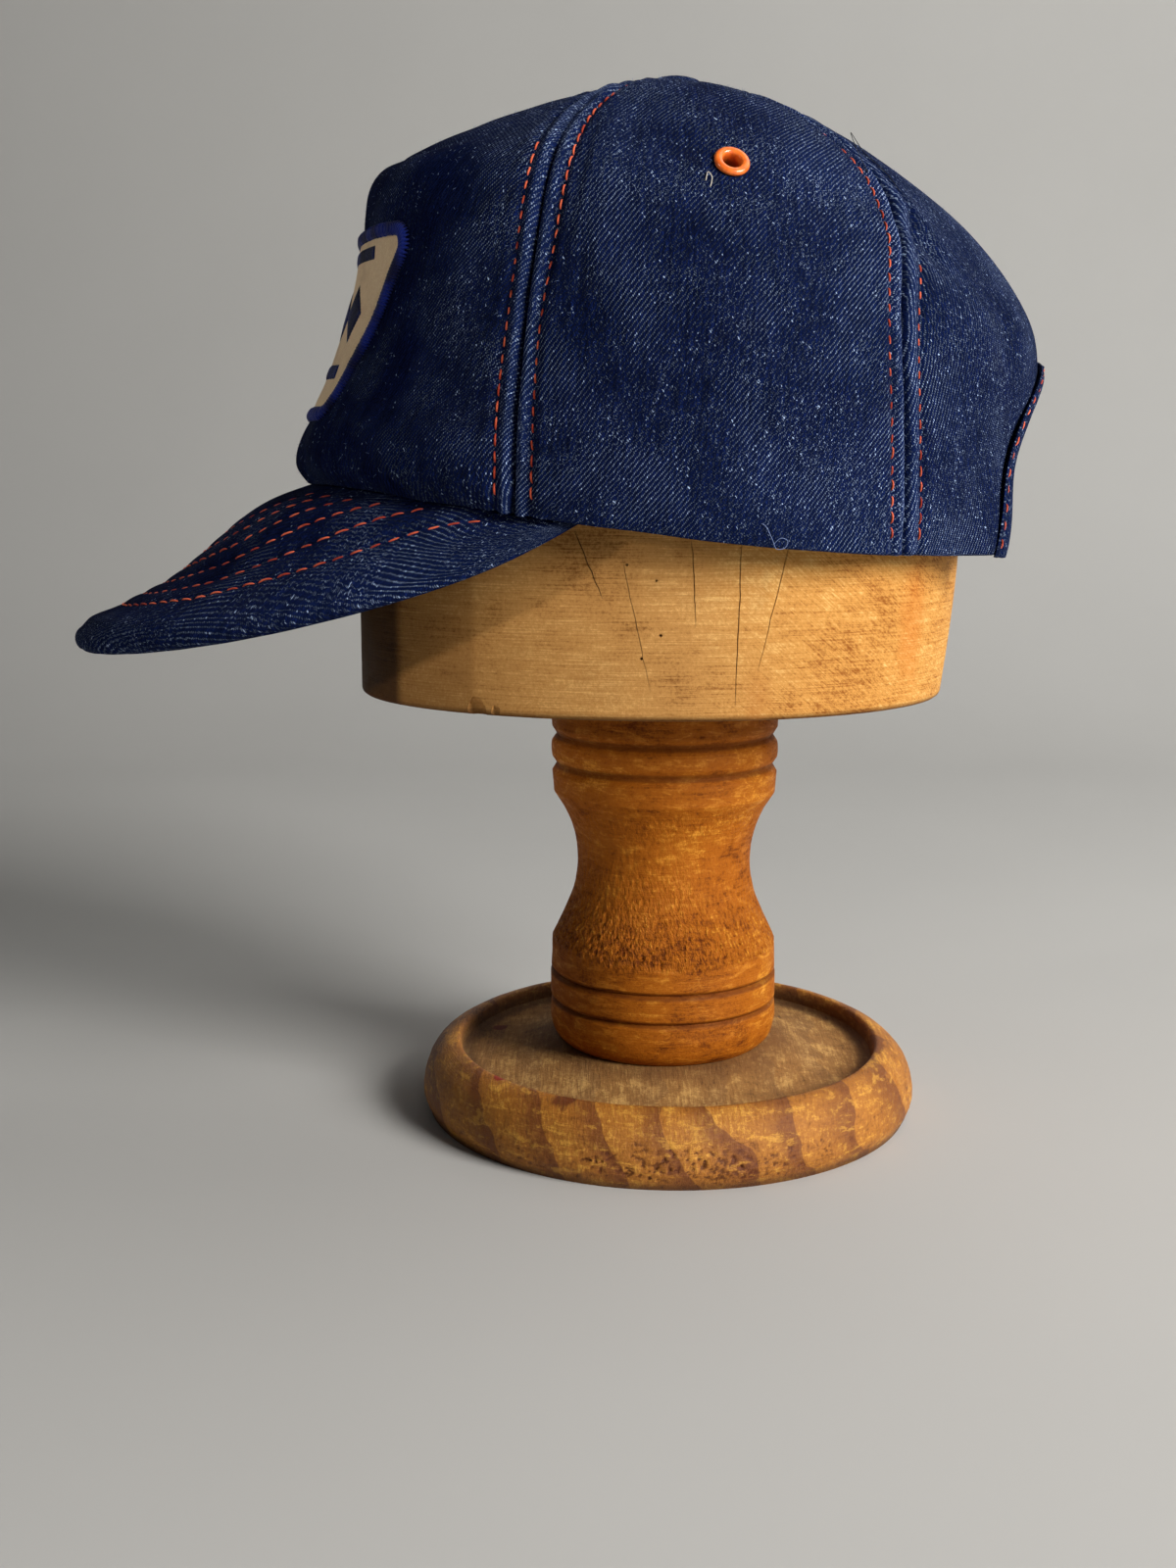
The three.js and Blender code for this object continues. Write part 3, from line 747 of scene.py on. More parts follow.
def panel_wear_and_light(angle, share):
    """Seams, the rim and patches of the wearer's left side are rubbed, and the dents stay dark.
    Painted light lifts the side towards the window, and painted shade darkens the front.
    """
    reach = oval(angle, share)
    up = share * MM_PER_SHARE
    turn = turned(angle)
    worn = np.zeros_like(angle)
    for seam in SEAMS.values():
        distance = np.abs(from_seam(seam, angle, share, reach))
        worn = np.maximum(worn, 0.75 * hill(distance - 2.0, 1.7))
    worn += 0.30 * hill(up - 14, 16) * hill(turned(angle - 18), 22)
    worn += 0.35 * hill(share - 0.63, 0.06) * hill(turned(angle - 30), 14)
    worn += 0.30 * hill(up, 2.0)
    # Painted light: from the middle of the wearer's left side round to the back, the part facing the
    # window is drawn paler as if worn.
    worn += 0.22 * np.clip((turn - 2) / 30, 0, 1) * np.clip((95 - turn) / 20, 0, 1)
    worn += 0.28 * hill(share - 0.68, 0.16) * hill(turned(angle + 14), 12)
    # Painted shade: the front, turned away from the window, is drawn less worn and darker.
    worn -= 0.32 * np.clip((-turn - 38) / 12, 0, 1)
    return worn + swell(DENTS, angle, share) * 0.08


def panel(name, node, columns, rows, place, lean, middle, hole=None):
    """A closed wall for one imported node. place(u, v) gives the angle and share of each point,
    middle is the angle of its flat pattern's middle line, and hole is an eyelet's place."""
    bm, u, v = grid(columns, rows, 2)
    angle, share = place(u, v)
    x, y = flat_place(angle, share, middle)
    outer = crown(angle, share, face_relief(angle, share))
    inner = crown(angle, share, -WALL + np.minimum(0, swell(CREASES, angle, share)))
    flat = np.tile(turned_map(x, y, lean), (2, 1))
    write_map(bm, flat, np.tile(panel_wear_and_light(angle, share), 2))
    place_all(bm.verts, np.concatenate([outer, inner]))
    if hole:
        cut_round_hole(bm, *hole_centre(hole))
    bridge_walls(bm)
    return ready(finish_piece(bm, name, DENIM), "denim", node)


# %% Holes for the eyelets
EYELET = {"share": 0.6, "flange": 4.6, "hole": 2.4, "cut": 3.2}
EYELET_ANGLES = {"left": 9.2, "right": 180 - 9.2}


def hole_centre(angle):
    """Centre and axis of the eyelet hole at an angle."""
    spot = np.array([angle], float), np.array([EYELET["share"]], float)
    return crown(*spot)[0], normals(*spot)[0]


def cut_round_hole(bm, centre, axis):
    """Removes the faces inside the eyelet and draws the cut edge into a circle."""
    centre, axis, cut = Vector(centre * MM), Vector(axis), EYELET["cut"] * MM

    def across(point):
        away = point - centre
        return away - axis * away.dot(axis)

    def near(point, times):
        return (point - centre).length < times * cut

    middles = ((face, face.calc_center_median()) for face in bm.faces)
    inside = [face for face, spot in middles if near(spot, 4) and across(spot).length < cut]
    bmesh.ops.delete(bm, geom=inside, context="FACES")
    for vert in bm.verts:
        if vert.is_boundary and near(vert.co, 2):
            away = across(vert.co)
            vert.co += away * (cut / away.length - 1)


# %% Front and side panels
SEWN_GAP = 0.05


def sewn_clear(angle, share):
    """Half the gap between two sewn panels, in degrees."""
    return np.degrees(SEWN_GAP / 2 / oval(angle, share))


def between(left, right):
    """A place function for a panel between two seams, a hair's breadth clear of each."""
    def place(u, v):
        clear = sewn_clear(left(v), v)
        low = left(v) + clear
        high = right(v) - clear
        return low + (high - low) * crowded(u), v
    return place


def right_front_seam(share):
    """The right front seam, with its angle counted the other way round."""
    return -180 - front_seam(share)


panel("panel_front", "front_panel", 170, 130, between(right_front_seam, front_seam), 56, -90)
panel("panel_side_left", "side_panel_left", 120, 150, between(front_seam, back_seam), 52, 6,
      EYELET_ANGLES["left"])
panel("panel_side_right", "side_panel_right", 120, 150,
      between(SEAMS["back_right"], SEAMS["front_right"]), 52, 174, EYELET_ANGLES["right"])

# %% [markdown]
# ### The back panels
# Each back panel ends below in a quarter of the half-moon opening. A grid whose lower edge follows
# the rim and then the arch, and whose columns lean back to even spacing further up, keeps its
# faces square all the way, which a cut with a boolean would not.

# %% Back panels
# The part of a back panel's lower edge that is rim; the rest is arch.
RIM_PART = 0.36


def arch_place(turn):
    """Angle and share on the opening's edge, as turn goes from 0 at its left foot to pi."""
    return ARCH["middle"] - ARCH["half_angle"] * np.cos(turn), ARCH["share"] * np.sin(turn)


def back_place(mirror):
    middle = ARCH["middle"]

    def place(u, v):
        u = 1 - u if mirror else u
        even = crowded(u)
        turn = np.clip((even - RIM_PART) / (1 - RIM_PART), 0, 1) * np.pi / 2
        arch_angle, arch_share = arch_place(turn)
        rim_angle = back_seam(0 * u) + (arch_place(0.0)[0] - back_seam(0 * u)) * even / RIM_PART
        low_angle = np.where(even < RIM_PART, rim_angle, arch_angle)
        low_share = np.where(even < RIM_PART, 0, arch_share)
        share = low_share + (1 - low_share) * v
        low_part = (low_angle - back_seam(low_share)) / (middle - back_seam(low_share))
        settle = v * v * (3 - 2 * v)
        part = low_part + (even - low_part) * settle
        clear = sewn_clear(middle + 0 * share, share)
        low = back_seam(share) + clear
        angle = low + (middle - clear - low) * part
        return (2 * middle - angle if mirror else angle), share
    return place


panel("panel_back_left", "back_panel_left", 90, 110, back_place(False), 78, 68)
panel("panel_back_right", "back_panel_right", 90, 110, back_place(True), 60, 112)

# %% [markdown]
# ## Stitches
# A stitch is a short length of thick orange thread that comes out of the cloth, lies on it and goes
# back in. One stitch is modelled by extruding a small ring along a bow, and its copies are placed
# along each row with small differences, then joined into one mesh for each row or group of rows.

# %% One stitch and its copies
THREAD_RADIUS = 0.27
STITCH_LENGTH = 3.15


def thread_shape(length, radius, sink, rings=6):
    """The points and faces of a bowed thread along X, in millimetres: its ends dip by sink."""
    bm = bmesh.new()
    ring = bmesh.ops.create_circle(bm, segments=6, radius=radius, cap_ends=True)["verts"]
    turn = Matrix.Rotation(math.pi / 2, 4, "Y")
    bmesh.ops.transform(bm, matrix=Matrix.Translation((-length / 2, 0, 0)) @ turn, verts=ring)
    face = bm.faces[:]
    for _ in range(rings):
        made = bmesh.ops.extrude_face_region(bm, geom=face)["geom"]
        ring = [g for g in made if isinstance(g, bmesh.types.BMVert)]
        bmesh.ops.translate(bm, verts=ring, vec=(length / rings, 0, 0))
        bmesh.ops.delete(bm, geom=[f for f in face if f.is_valid], context="FACES_ONLY")
        face = [g for g in made if isinstance(g, bmesh.types.BMFace)]
    for vert in bm.verts:
        t = vert.co.x / (length / 2)
        slim = 1 - 0.45 * abs(t) ** 5
        vert.co.y *= slim
        vert.co.z = vert.co.z * slim - sink * t * t * abs(t)
    bmesh.ops.recalc_face_normals(bm, faces=bm.faces)
    return shape_arrays(bm)


def shape_arrays(bm):
    """Points, and faces as lists of point numbers, of a small shape."""
    bm.verts.index_update()
    places = np.array([v.co[:] for v in bm.verts])
    faces = [[v.index for v in f.verts] for f in bm.faces]
    bm.free()
    return places, faces


def joined_copies(name, shape, frames, material):
    """One mesh of many copies. A frame is an origin and three axes, all in millimetres."""
    places, faces = shape
    count = len(places)
    points = [origin + places @ np.array(axes) for origin, *axes in frames]
    mesh = bpy.data.meshes.new(name)
    every = [[i + k * count for i in face] for k in range(len(frames)) for face in faces]
    mesh.from_pydata(np.concatenate(points) * MM, [], every)
    return dressed(name, mesh, material)


def between_rows(at, marks, rows):
    """The row that belongs to each place, where the given rows belong to the marks."""
    return np.stack([np.interp(at, marks, part) for part in rows.T], axis=-1)


def frames_along(points, ups, pitch, length, seed, start):
    """Frames for stitches along a line of points, one for each pitch, each a little different."""
    dice = random.Random(seed)
    far = lengths_along(points)
    frames = []
    at = start
    while at + length < far[-1]:
        middle = at + pitch / 2 + dice.uniform(-0.2, 0.2)
        span = length / 2 * dice.uniform(0.9, 1.08)
        before, origin, after = between_rows([middle - span, middle, middle + span], far, points)
        up = unit(between_rows(middle, far, ups))
        along = unit(after - before)
        along = unit(along + unit(np.cross(up, along)) * dice.uniform(-0.07, 0.07))
        across = np.cross(up, along)
        stretched = along * dice.uniform(0.92, 1.08)
        lifted = origin + up * dice.uniform(-0.06, 0.08)
        frames.append((lifted, stretched, across, np.cross(along, across)))
        at += pitch
    return frames


# %% [markdown]
# ## Orange thread
# The thread is spun polyester: two plies twisted together, salmon where it is rubbed and redder in
# the dark. A fine noise on object coordinates stands for the twist.

# %% Thread material
def thread_material(name, dark, light, rough=0.65):
    made, tree, shader = new_material(name, Roughness=rough, Sheen_Weight=0.06,
                                      Specular_IOR_Level=0.12)
    place = object_place(tree)
    tone = tree.noise(place, 0.11, 2.0)
    strands = tree.noise(place, 2.6, 3.0, 0.8)
    shade = tree.mix(tree.ramp(tone, 0.35, 0.65), dark, light)
    darker = tree.mix(tree.ramp(strands, 0.55, 0.3, 0.0, 0.55), shade, dark)
    tree.fill_named(shader, Base_Color=darker, Normal=tree.bump(strands, 0.12))
    return made


ORANGE_THREAD = thread_material("orange_thread", (158, 52, 34), (236, 112, 78))

# %% Seam stitches
SEAM_ROW_TOP = 0.955
# Rows that run out early, where the fold lies over them.
SHORT_ROWS = {("front_left", -1): JOINT_END, ("front_right", 1): JOINT_END,
              ("back_left", 1): 0.5, ("back_right", -1): 0.5}
# How far a thread's ends dip into the cloth, and its middle lies above it.
STITCH_SINK = 0.6
STITCH_LIFT = 0.22
STITCH = thread_shape(STITCH_LENGTH, THREAD_RADIUS, STITCH_SINK)


def seam_row(seam_name, side):
    """Points and outward directions of one stitch row, on the sewn surface."""
    seam = SEAMS[seam_name]
    low = ARCH["share"] + 0.012 if seam_name == "back_middle" else 0.006
    share = np.linspace(low, SHORT_ROWS.get((seam_name, side), SEAM_ROW_TOP), 500)
    length = np.interp(share, SEAM_STEPS, SEAM_LENGTHS[seam_name])
    angle = seam(share) + side * np.degrees(row_place(length, side) / oval(seam(share), share))
    points = crown(angle, share, face_relief(angle, share) + STITCH_LIFT)
    return points, normals(angle, share), length


SEAM_FRAMES = []
for row_number, (seam_name, side) in enumerate((s, k) for s in SEAMS for k in (-1, 1)):
    points, ups, length = seam_row(seam_name, side)
    first = -length[0] % STITCH_PITCH
    SEAM_FRAMES += frames_along(points, ups, STITCH_PITCH, STITCH_LENGTH, 10 + row_number, first)
ready(joined_copies("seam_stitches", STITCH, SEAM_FRAMES, ORANGE_THREAD), None)
print(len(SEAM_FRAMES), "seam stitches")

# %% [markdown]
# ## The bill
# The bill is a stiff board between two layers of denim, closed round its edge by a seam, and sewn
# through by six rows that follow the edge. Its section is swept from the crown out over the top,
# round the edge and back underneath, so one grid makes it all. The stitch rows sink into the top
# and leave soft ridges between them.

# %% Bill measures, in millimetres
BILL = {
    "thick": 3.5, "corner_thin": 0.72, "root_half_angle": 72.5, "half_width": 82,
    "corner_forward": 25, "length": 150.5, "squareness": 2.15, "tip_up": 144.3,
    "corner_rise": 33, "rise_exponent": 1.95, "roll": 2, "root_inside": 2.5,
    "hump": 2.3, "swell": 1.7, "belly": 1.8, "nose": 3.0, "corner_tuck": 2.6, "shoulder": 5.0,
}
BILL_ROWS = {"count": 6, "first": 14.6, "side_first": 8.6, "apart": 5.9, "pitch": 5.4, "length": 4.2}


def bill_middle(u, v):
    """The bill's upper face: u across, v from the crown to the edge."""
    side = 1 - 2 * u
    rim = skin(-90 + side * BILL["root_half_angle"], 0 * u)
    radius = np.hypot(rim[:, 0], rim[:, 1])
    root = rim * ((radius - BILL["root_inside"]) / radius)[:, None]
    root[:, 2] = rim[:, 2] - GAP
    turn = np.radians(side * 90)
    forward = np.abs(np.cos(turn)) ** (2 / BILL["squareness"])
    wide = np.sign(side) * BILL["half_width"] * np.abs(np.sin(turn)) ** (2 / BILL["squareness"])
    rise = BILL["corner_rise"] * (1 - forward) ** BILL["rise_exponent"]
    edge = np.stack([wide, -BILL["corner_forward"] - BILL["length"] * forward,
                     BILL["tip_up"] + rise], axis=1)
    point = root + (edge - root) * v[:, None]
    inner = 1 - side**2
    point[:, 2] += BILL["roll"] * np.sin(2 * np.pi * v) * (1 - v / 2) * inner
    point[:, 2] += BILL["hump"] * hill(v - 0.24, 0.2) * inner
    point[:, 2] += BILL["swell"] * hill(v - 0.75, 0.11) * inner
    point[:, 2] += BILL["shoulder"] * np.sin(np.pi * v**1.7) * 4 * side**2 * inner
    corner = np.clip((np.abs(side) - 0.88) / 0.12, 0, 1) ** 2
    point[:, 0] *= 1 - 0.045 * corner * v
    point[:, 2] += BILL["corner_tuck"] * corner
    return point


def bill_normal(u, v):
    across = bill_middle(np.minimum(1, u + 0.01), v) - bill_middle(np.maximum(0, u - 0.01), v)
    along = bill_middle(u, np.minimum(1, v + 0.02)) - bill_middle(u, np.maximum(0, v - 0.02))
    return unit(np.cross(across, along))


EDGE_MARKS = np.arange(601)
BILL_EDGE = bill_middle(EDGE_MARKS / EDGE_MARKS[-1], np.ones(len(EDGE_MARKS)))
print("bill edge", round(lengths_along(BILL_EDGE)[-1], 1), "mm round")


def beside(line):
    """Directions in plan to the right of a line's own, one for each of its points."""
    along = unit(np.gradient(line[:, :2], axis=0))
    return np.stack([along[:, 1], -along[:, 0]], axis=1)


def offset_edge(distance):
    """The edge's line in plan, moved inwards by a distance."""
    return BILL_EDGE[:, :2] + beside(BILL_EDGE) * np.asarray(distance).reshape(-1, 1)


def from_edge(points):
    """Distance in plan from each point to the bill's edge, and the nearest place on the edge."""
    away = np.linalg.norm(points[:, None, :2] - BILL_EDGE[None, :, :2], axis=2)
    nearest = np.argmin(away, axis=1)
    return away[np.arange(len(points)), nearest], nearest


def row_shift(nearest):
    """The rows lie closer to the edge along the sides than at the tip."""
    side = np.abs(2 * nearest / EDGE_MARKS[-1] - 1)
    return (BILL_ROWS["first"] - BILL_ROWS["side_first"]) * np.clip(side / 0.5, 0, 1) ** 2


ROW_DISTANCES = [BILL_ROWS["first"] + k * BILL_ROWS["apart"] for k in range(BILL_ROWS["count"])]
ROW_LINES = [offset_edge(distance - row_shift(EDGE_MARKS)) for distance in ROW_DISTANCES]
ROW_LENGTHS = [lengths_along(line) for line in ROW_LINES]


def bill_relief(points, nearest, distance):
    """Stitch channels, the ridges between them, and the padded edge."""
    distance = distance + row_shift(nearest)
    lift = 0.28 * hill(distance - 5.5, 4.5)
    for k, row in enumerate(ROW_DISTANCES):
        beat = np.cos(2 * np.pi * ROW_LENGTHS[k][nearest] / BILL_ROWS["pitch"])
        lift -= (0.42 + 0.16 * beat) * hill(distance - row, 0.95)
        lift += 0.10 * hill(distance - row - BILL_ROWS["apart"] / 2, 1.6)
    wave = np.sin(points[:, 0] / 9.0 + 0.4) * np.sin(points[:, 1] / 13.0)
    return lift + 0.12 * wave * np.clip(distance / 20, 0, 1)


# %% Bill mesh
BILL_GRID = {"columns": 300, "top": 110, "edge": 14, "under": 26}


def across_bill(u, v):
    """Distance over the bare surface from the ridge to each point, measured straight across."""
    length = np.zeros_like(u)
    last = bill_middle(np.full_like(u, 0.5), v)
    for share in np.linspace(0, 1, 25)[1:]:
        here = bill_middle(0.5 + (u - 0.5) * share, v)
        length += np.hypot(here[:, 0] - last[:, 0], here[:, 2] - last[:, 2])
        last = here
    return np.sign(last[:, 0]) * length


def make_bill():
    columns, *parts = BILL_GRID.values()
    bm, u, row = grid(columns, sum(parts))
    row *= sum(parts)
    over = np.clip(row / parts[0], 0, 1)
    turn = np.clip((row - parts[0]) / parts[1], 0, 1) * np.pi
    under = np.clip((row - parts[0] - parts[1]) / parts[2], 0, 1)
    v = np.where(row <= parts[0], 1 - (1 - over) ** 1.25, 1 - under)
    base = bill_middle(u, v)
    normal = bill_normal(u, np.minimum(v, 0.985))
    side = np.abs(1 - 2 * u)
    plain = BILL["thick"] * (1 - BILL["corner_thin"] * side**5)
    padded = BILL["nose"] * (1 - side**3) * (0.5 * np.clip((v - 0.72) / 0.25, 0, 1)
                                             + 0.5 * hill(v - 0.9, 0.075))
    lower = BILL["belly"] * (1 - side**2) * np.clip((v - 0.6) / 0.37, 0, 1)
    thick = plain + padded + lower
    distance, nearest = from_edge(base)
    relief = np.where(turn > 0, 0.05 * np.sin(u * 140), bill_relief(base, nearest, distance))
    up = relief + padded - (thick / 2) * (1 - np.cos(turn))
    seam = 0.45 * hill((turn - np.pi * 0.66) * thick / 2, 0.32) * (turn > 0)
    out = unit(bill_middle(u, np.ones_like(u)) - bill_middle(u, np.full_like(u, 0.9)))
    near_edge = np.clip((v - 0.9) / 0.1, 0, 1)
    push = thick / 2 * (np.sin(turn) - near_edge) - seam
    points = base + normal * up[:, None] + out * push[:, None]
    y = base[:, 1] - np.where(turn > 0, thick / 2 * turn, 0) - np.where(under > 0, 6.0, 0)
    beside_tip = np.clip(np.abs(base[:, 0]) / 40 - 0.5, 0, 1)
    # The 0.3 taken off the whole bill is painted shade; the edge and the sides beside the tip are
    # rubbed.
    wear = 0.45 * hill(distance, 4.5) + 0.35 * hill(distance - 7, 6) * beside_tip - 0.3
    write_map(bm, turned_map(across_bill(u, v), y, 60), wear)
    place_all(bm.verts, points)
    bmesh.ops.holes_fill(bm, edges=open_edges(bm), sides=0)
    return bm


bill_bm = make_bill()
BILL_TREE = BVHTree.FromBMesh(bill_bm)
ready(finish_piece(bill_bm, "stitched_bill", DENIM), "denim", "bill")

# %% Bill stitches
def bill_row(line):
    """One row's points on the bill's top, from the crown's left to its right, and their ups."""
    points = []
    ups = []
    for x, y in line:
        rim = skin(np.degrees(np.arctan2([y], [x])), np.zeros(1))[0]
        hit, up, _, _ = BILL_TREE.ray_cast(Vector((x * MM, y * MM, 0.3)), Vector((0, 0, -1)))
        if hit is None or math.hypot(x, y) < math.hypot(rim[0], rim[1]) - 1.0 or y > 0:
            continue
        up = np.array(up) * np.sign(up.z)
        points.append(np.array(hit) / MM + up * 0.12)
        ups.append(up)
    return np.array(points), np.array(ups)


BILL_STITCH = thread_shape(BILL_ROWS["length"], THREAD_RADIUS, STITCH_SINK)
BILL_FRAMES = []
for k, line in enumerate(ROW_LINES):
    points, ups = bill_row(line)
    BILL_FRAMES += frames_along(points, ups, BILL_ROWS["pitch"], BILL_ROWS["length"], 60 + k, 0.7 * k)
ready(joined_copies("bill_stitches", BILL_STITCH, BILL_FRAMES, ORANGE_THREAD), None)
print(len(BILL_FRAMES), "bill stitches in", len(ROW_LINES), "rows")

# %% [markdown]
# ## The half-moon binding
# A folded strip of the same denim binds the cut edge of the opening, sewn down by one row of orange
# stitches, and its two ends lie over each other at the top. Its section is a soft flat loop that
# hugs the cut edge, swept round the arch. A plain tube would look like piping, so the section keeps
# the strip's width.

# %% Binding
BAND = {"width": 5.2, "lip": 1.8, "thick": 1.25, "clear": 0.35, "steps": 150, "row": 3.7,
        "pitch": 4.9, "overlap": 1.5}
BAND_TOP = BAND["clear"] + BAND["thick"]


def arch_frame(turn):
    """Places on the arch and the shares of a millimetre outward step, across and along."""
    angle, share = arch_place(turn)
    per_degree = np.radians(1) * column("back_out", share)
    step, middle = 0.02, ARCH["middle"] + 0 * share
    rise = np.linalg.norm(skin(middle, share + step) - skin(middle, share), axis=1)
    per_share = rise / step
    across = -np.cos(turn) * ARCH["share"] * per_share
    along = np.sin(turn) * ARCH["half_angle"] * per_degree
    size = np.hypot(across, along)
    return angle, share, across / size / per_degree, along / size / per_share


def on_band(turn, out, lift):
    """A point on the binding: out from the cut edge, and lifted off the crown."""
    angle, share, turn_part, rise_part = arch_frame(turn)
    reach_share = np.maximum(-0.004, share + out * rise_part)
    return crown(angle + out * turn_part, reach_share, lift)


def band_section():
    """The strip's rounded section: (out, lift) pairs, counter-clockwise from the inner lip."""
    low, high, under, top = -BAND["lip"], BAND["width"], BAND["clear"], BAND_TOP
    big, small = (0.8, 0.8), (0.24, 0.24)
    left, right = low + big[0], high - big[0]
    return (arc((left, -WALL + big[1]), small, (180, 225, 270))
            + arc((-0.5, -WALL + 0.2), small, (270, 315, 360)) + [(-0.35, under)]
            + [(high * k / 6, under) for k in range(1, 6)]
            + arc((right, under + big[1]), big, (-90, -45, 0))
            + arc((right, top - big[1]), big, (10, 50, 90))
            + [(left + (right - left) * (1 - k / 16), top) for k in range(1, 16)]
            + arc((left, top - big[1]), big, (90, 135, 180)))


def band_overlap(v):
    """The strip's two ends lie over each other at the top of the arch."""
    return BAND["overlap"] * hill(v - 0.5, 0.07)


def make_band(length):
    section = np.array(band_section())
    count = len(section)

    def place(number, v):
        out, lift = section[number % count].T
        far = v * length
        beat = np.cos(2 * np.pi * far / BAND["pitch"])
        on_face = lift > BAND_TOP - 0.1
        dip = (0.35 + 0.12 * beat) * hill(out - BAND["row"], 0.7)
        wavy = 0.18 * np.sin(far * 0.83) * hill(out - BAND["width"] + 0.6, 1.2)
        raised = lift + (0.25 * hill(out - 1.8, 1.8) - dip + wavy + band_overlap(v)) * on_face
        girth = out + np.where(on_face, 0, 12 + lift)
        return on_band(np.pi * v, out, raised), turned_map(girth, far, 40), 0.35 + 0 * far

    return finish_piece(rolled_tube(count, BAND["steps"], place), "opening_binding", DENIM)


ARCH_LENGTH = lengths_along(on_band(np.linspace(0, math.pi, 200), np.zeros(200), np.zeros(200)))[-1]
print("arch", round(ARCH_LENGTH, 1), "mm round its edge")
ready(make_band(ARCH_LENGTH), "denim", "opening_band")

# %% Binding stitches
turn = np.linspace(0.02, math.pi - 0.02, 400)
lift = BAND_TOP - 0.15 + band_overlap(turn / math.pi)
BAND_FRAMES = frames_along(on_band(turn, BAND["row"], lift), normals(*arch_place(turn)),
                           BAND["pitch"], STITCH_LENGTH, 90, 0.8)
ready(joined_copies("binding_stitches", STITCH, BAND_FRAMES, ORANGE_THREAD), None)

# %% [markdown]
# ## Snap straps
# The closure is two moulded plastic straps, one with holes and one with pegs. Each is drawn flat,
# where holes and rounded edges are simple, and then wrapped round the crown. The holes are cut by
# a boolean with pins, before the edges are bevelled.

# %% Strap plastic
def plastic_material():
    made, tree, shader = new_material("strap_plastic", Roughness=0.42)
    place = object_place(tree)
    grain = tree.noise(place, 1.4, 3.0, 0.7)
    scuffs = tree.noise(tree.stretched(place, 0.05, 0.05, 0.6), 1.0, 4.0, 0.7)
    body = tree.mix(tree.ramp(scuffs, 0.5, 0.75), (24, 25, 30), (52, 53, 58))
    tree.fill_named(shader, Base_Color=body, Roughness=tree.ramp(scuffs, 0.35, 0.75, 0.34, 0.6),
                    Normal=tree.bump(grain, 0.03))
    return made


STRAP_PLASTIC = plastic_material()
STRAP = {"thick": 1.5, "bottom": 0.012, "top": 0.132, "tuck": 40.0, "overlap": 9.2}
SNAP = {"count": 7, "pitch": 4.4, "peg": 2.0, "hole": 2.45, "engaged": 4}
STRAP_HALF = (STRAP["top"] - STRAP["bottom"]) / 2 * MM_PER_SHARE
STRAP_REACH = 96.0


def along_strap(degrees):
    return math.radians(degrees) * STRAP_REACH


def strap_blank(left, right):
    """A flat strap in millimetres with round ends: x along, y up, z through."""
    bm = bmesh.new()
    bmesh.ops.create_grid(bm, x_segments=70, y_segments=8, size=0.5)
    length = right - left
    for vert in bm.verts:
        x = left + (vert.co.x + 0.5) * length
        y = vert.co.y * 2 * STRAP_HALF
        near = min(x - left, right - x)
        if near < STRAP_HALF:
            y *= math.sqrt(max(0.04, 1 - (1 - near / STRAP_HALF) ** 2))
        vert.co = (x, y, 0)
    made = bmesh.ops.extrude_face_region(bm, geom=bm.faces[:])["geom"]
    lifted = [g for g in made if isinstance(g, bmesh.types.BMVert)]
    bmesh.ops.translate(bm, verts=lifted, vec=(0, 0, STRAP["thick"]))
    bmesh.ops.remove_doubles(bm, verts=bm.verts, dist=1e-4)
    bmesh.ops.recalc_face_normals(bm, faces=bm.faces)
    return bm


def pins(places, radius, low, high):
    bm = bmesh.new()
    for x in places:
        made = bmesh.ops.create_cone(bm, cap_ends=True, segments=28, radius1=radius, radius2=radius,
                                     depth=high - low)["verts"]
        bmesh.ops.translate(bm, verts=made, vec=(x, 0, (low + high) / 2))
    return bm


def boolean(body_bm, tool_bm, operation):
    """The body cut or joined by the tool, as a new bmesh."""
    body, tool = (add_object(name, mesh_from(bm, name))
                  for name, bm in (("body", body_bm), ("tool", tool_bm)))
    change = body.modifiers.new("boolean", "BOOLEAN")
    change.operation = operation
    change.object = tool
    change.solver = "EXACT"
    change.use_self = True
    bpy.context.view_layer.update()
    result = body.evaluated_get(bpy.context.evaluated_depsgraph_get()).to_mesh()
    bm = bmesh.new()
    bm.from_mesh(result)
    for old in (body, tool):
        mesh = old.data
        bpy.data.objects.remove(old)
        bpy.data.meshes.remove(mesh)
    return bm


def make_strap(name, ends, tool, operation, lift):
    """A strap between two turns in degrees, worked with a tool, its edges softened, and then bent
    round the back of the crown, with its inner face at a lift."""
    bm = boolean(strap_blank(*(along_strap(end) for end in ends)), tool, operation)
    bmesh.ops.recalc_face_normals(bm, faces=bm.faces)
    sharp = [edge for edge in bm.edges
             if len(edge.link_faces) == 2 and edge.calc_face_angle(0) > math.radians(50)]
    bmesh.ops.bevel(bm, geom=sharp, offset=0.28, segments=2, profile=0.5, affect="EDGES", material=-1)
    places = np.array([v.co[:] for v in bm.verts])
    angle = ARCH["middle"] + np.degrees(places[:, 0] / STRAP_REACH)
    share = (STRAP["bottom"] + STRAP["top"]) / 2 + places[:, 1] / MM_PER_SHARE
    place_all(bm.verts, crown(angle, share, lift + places[:, 2]))
    return finish_piece(bm, name, STRAP_PLASTIC)


SNAP_PLACES = [along_strap((k - (SNAP["engaged"] - 1) / 2) * SNAP["pitch"])
               for k in range(SNAP["count"])]
HOLES = pins([-x for x in SNAP_PLACES], SNAP["hole"], -2, 4)
PEGS = pins(SNAP_PLACES, SNAP["peg"], 0.6, 3.7)
STRAP_LIFT = -WALL - GAP - STRAP["thick"]
ready(make_strap("strap_with_holes", (-STRAP["tuck"], STRAP["overlap"]), HOLES, "DIFFERENCE",
                 STRAP_LIFT), "strap_plastic", "snap_strap_left")
ready(make_strap("strap_with_pegs", (-STRAP["overlap"], STRAP["tuck"]), PEGS, "UNION",
                 STRAP_LIFT - GAP - STRAP["thick"]), "strap_plastic", "snap_strap_right")

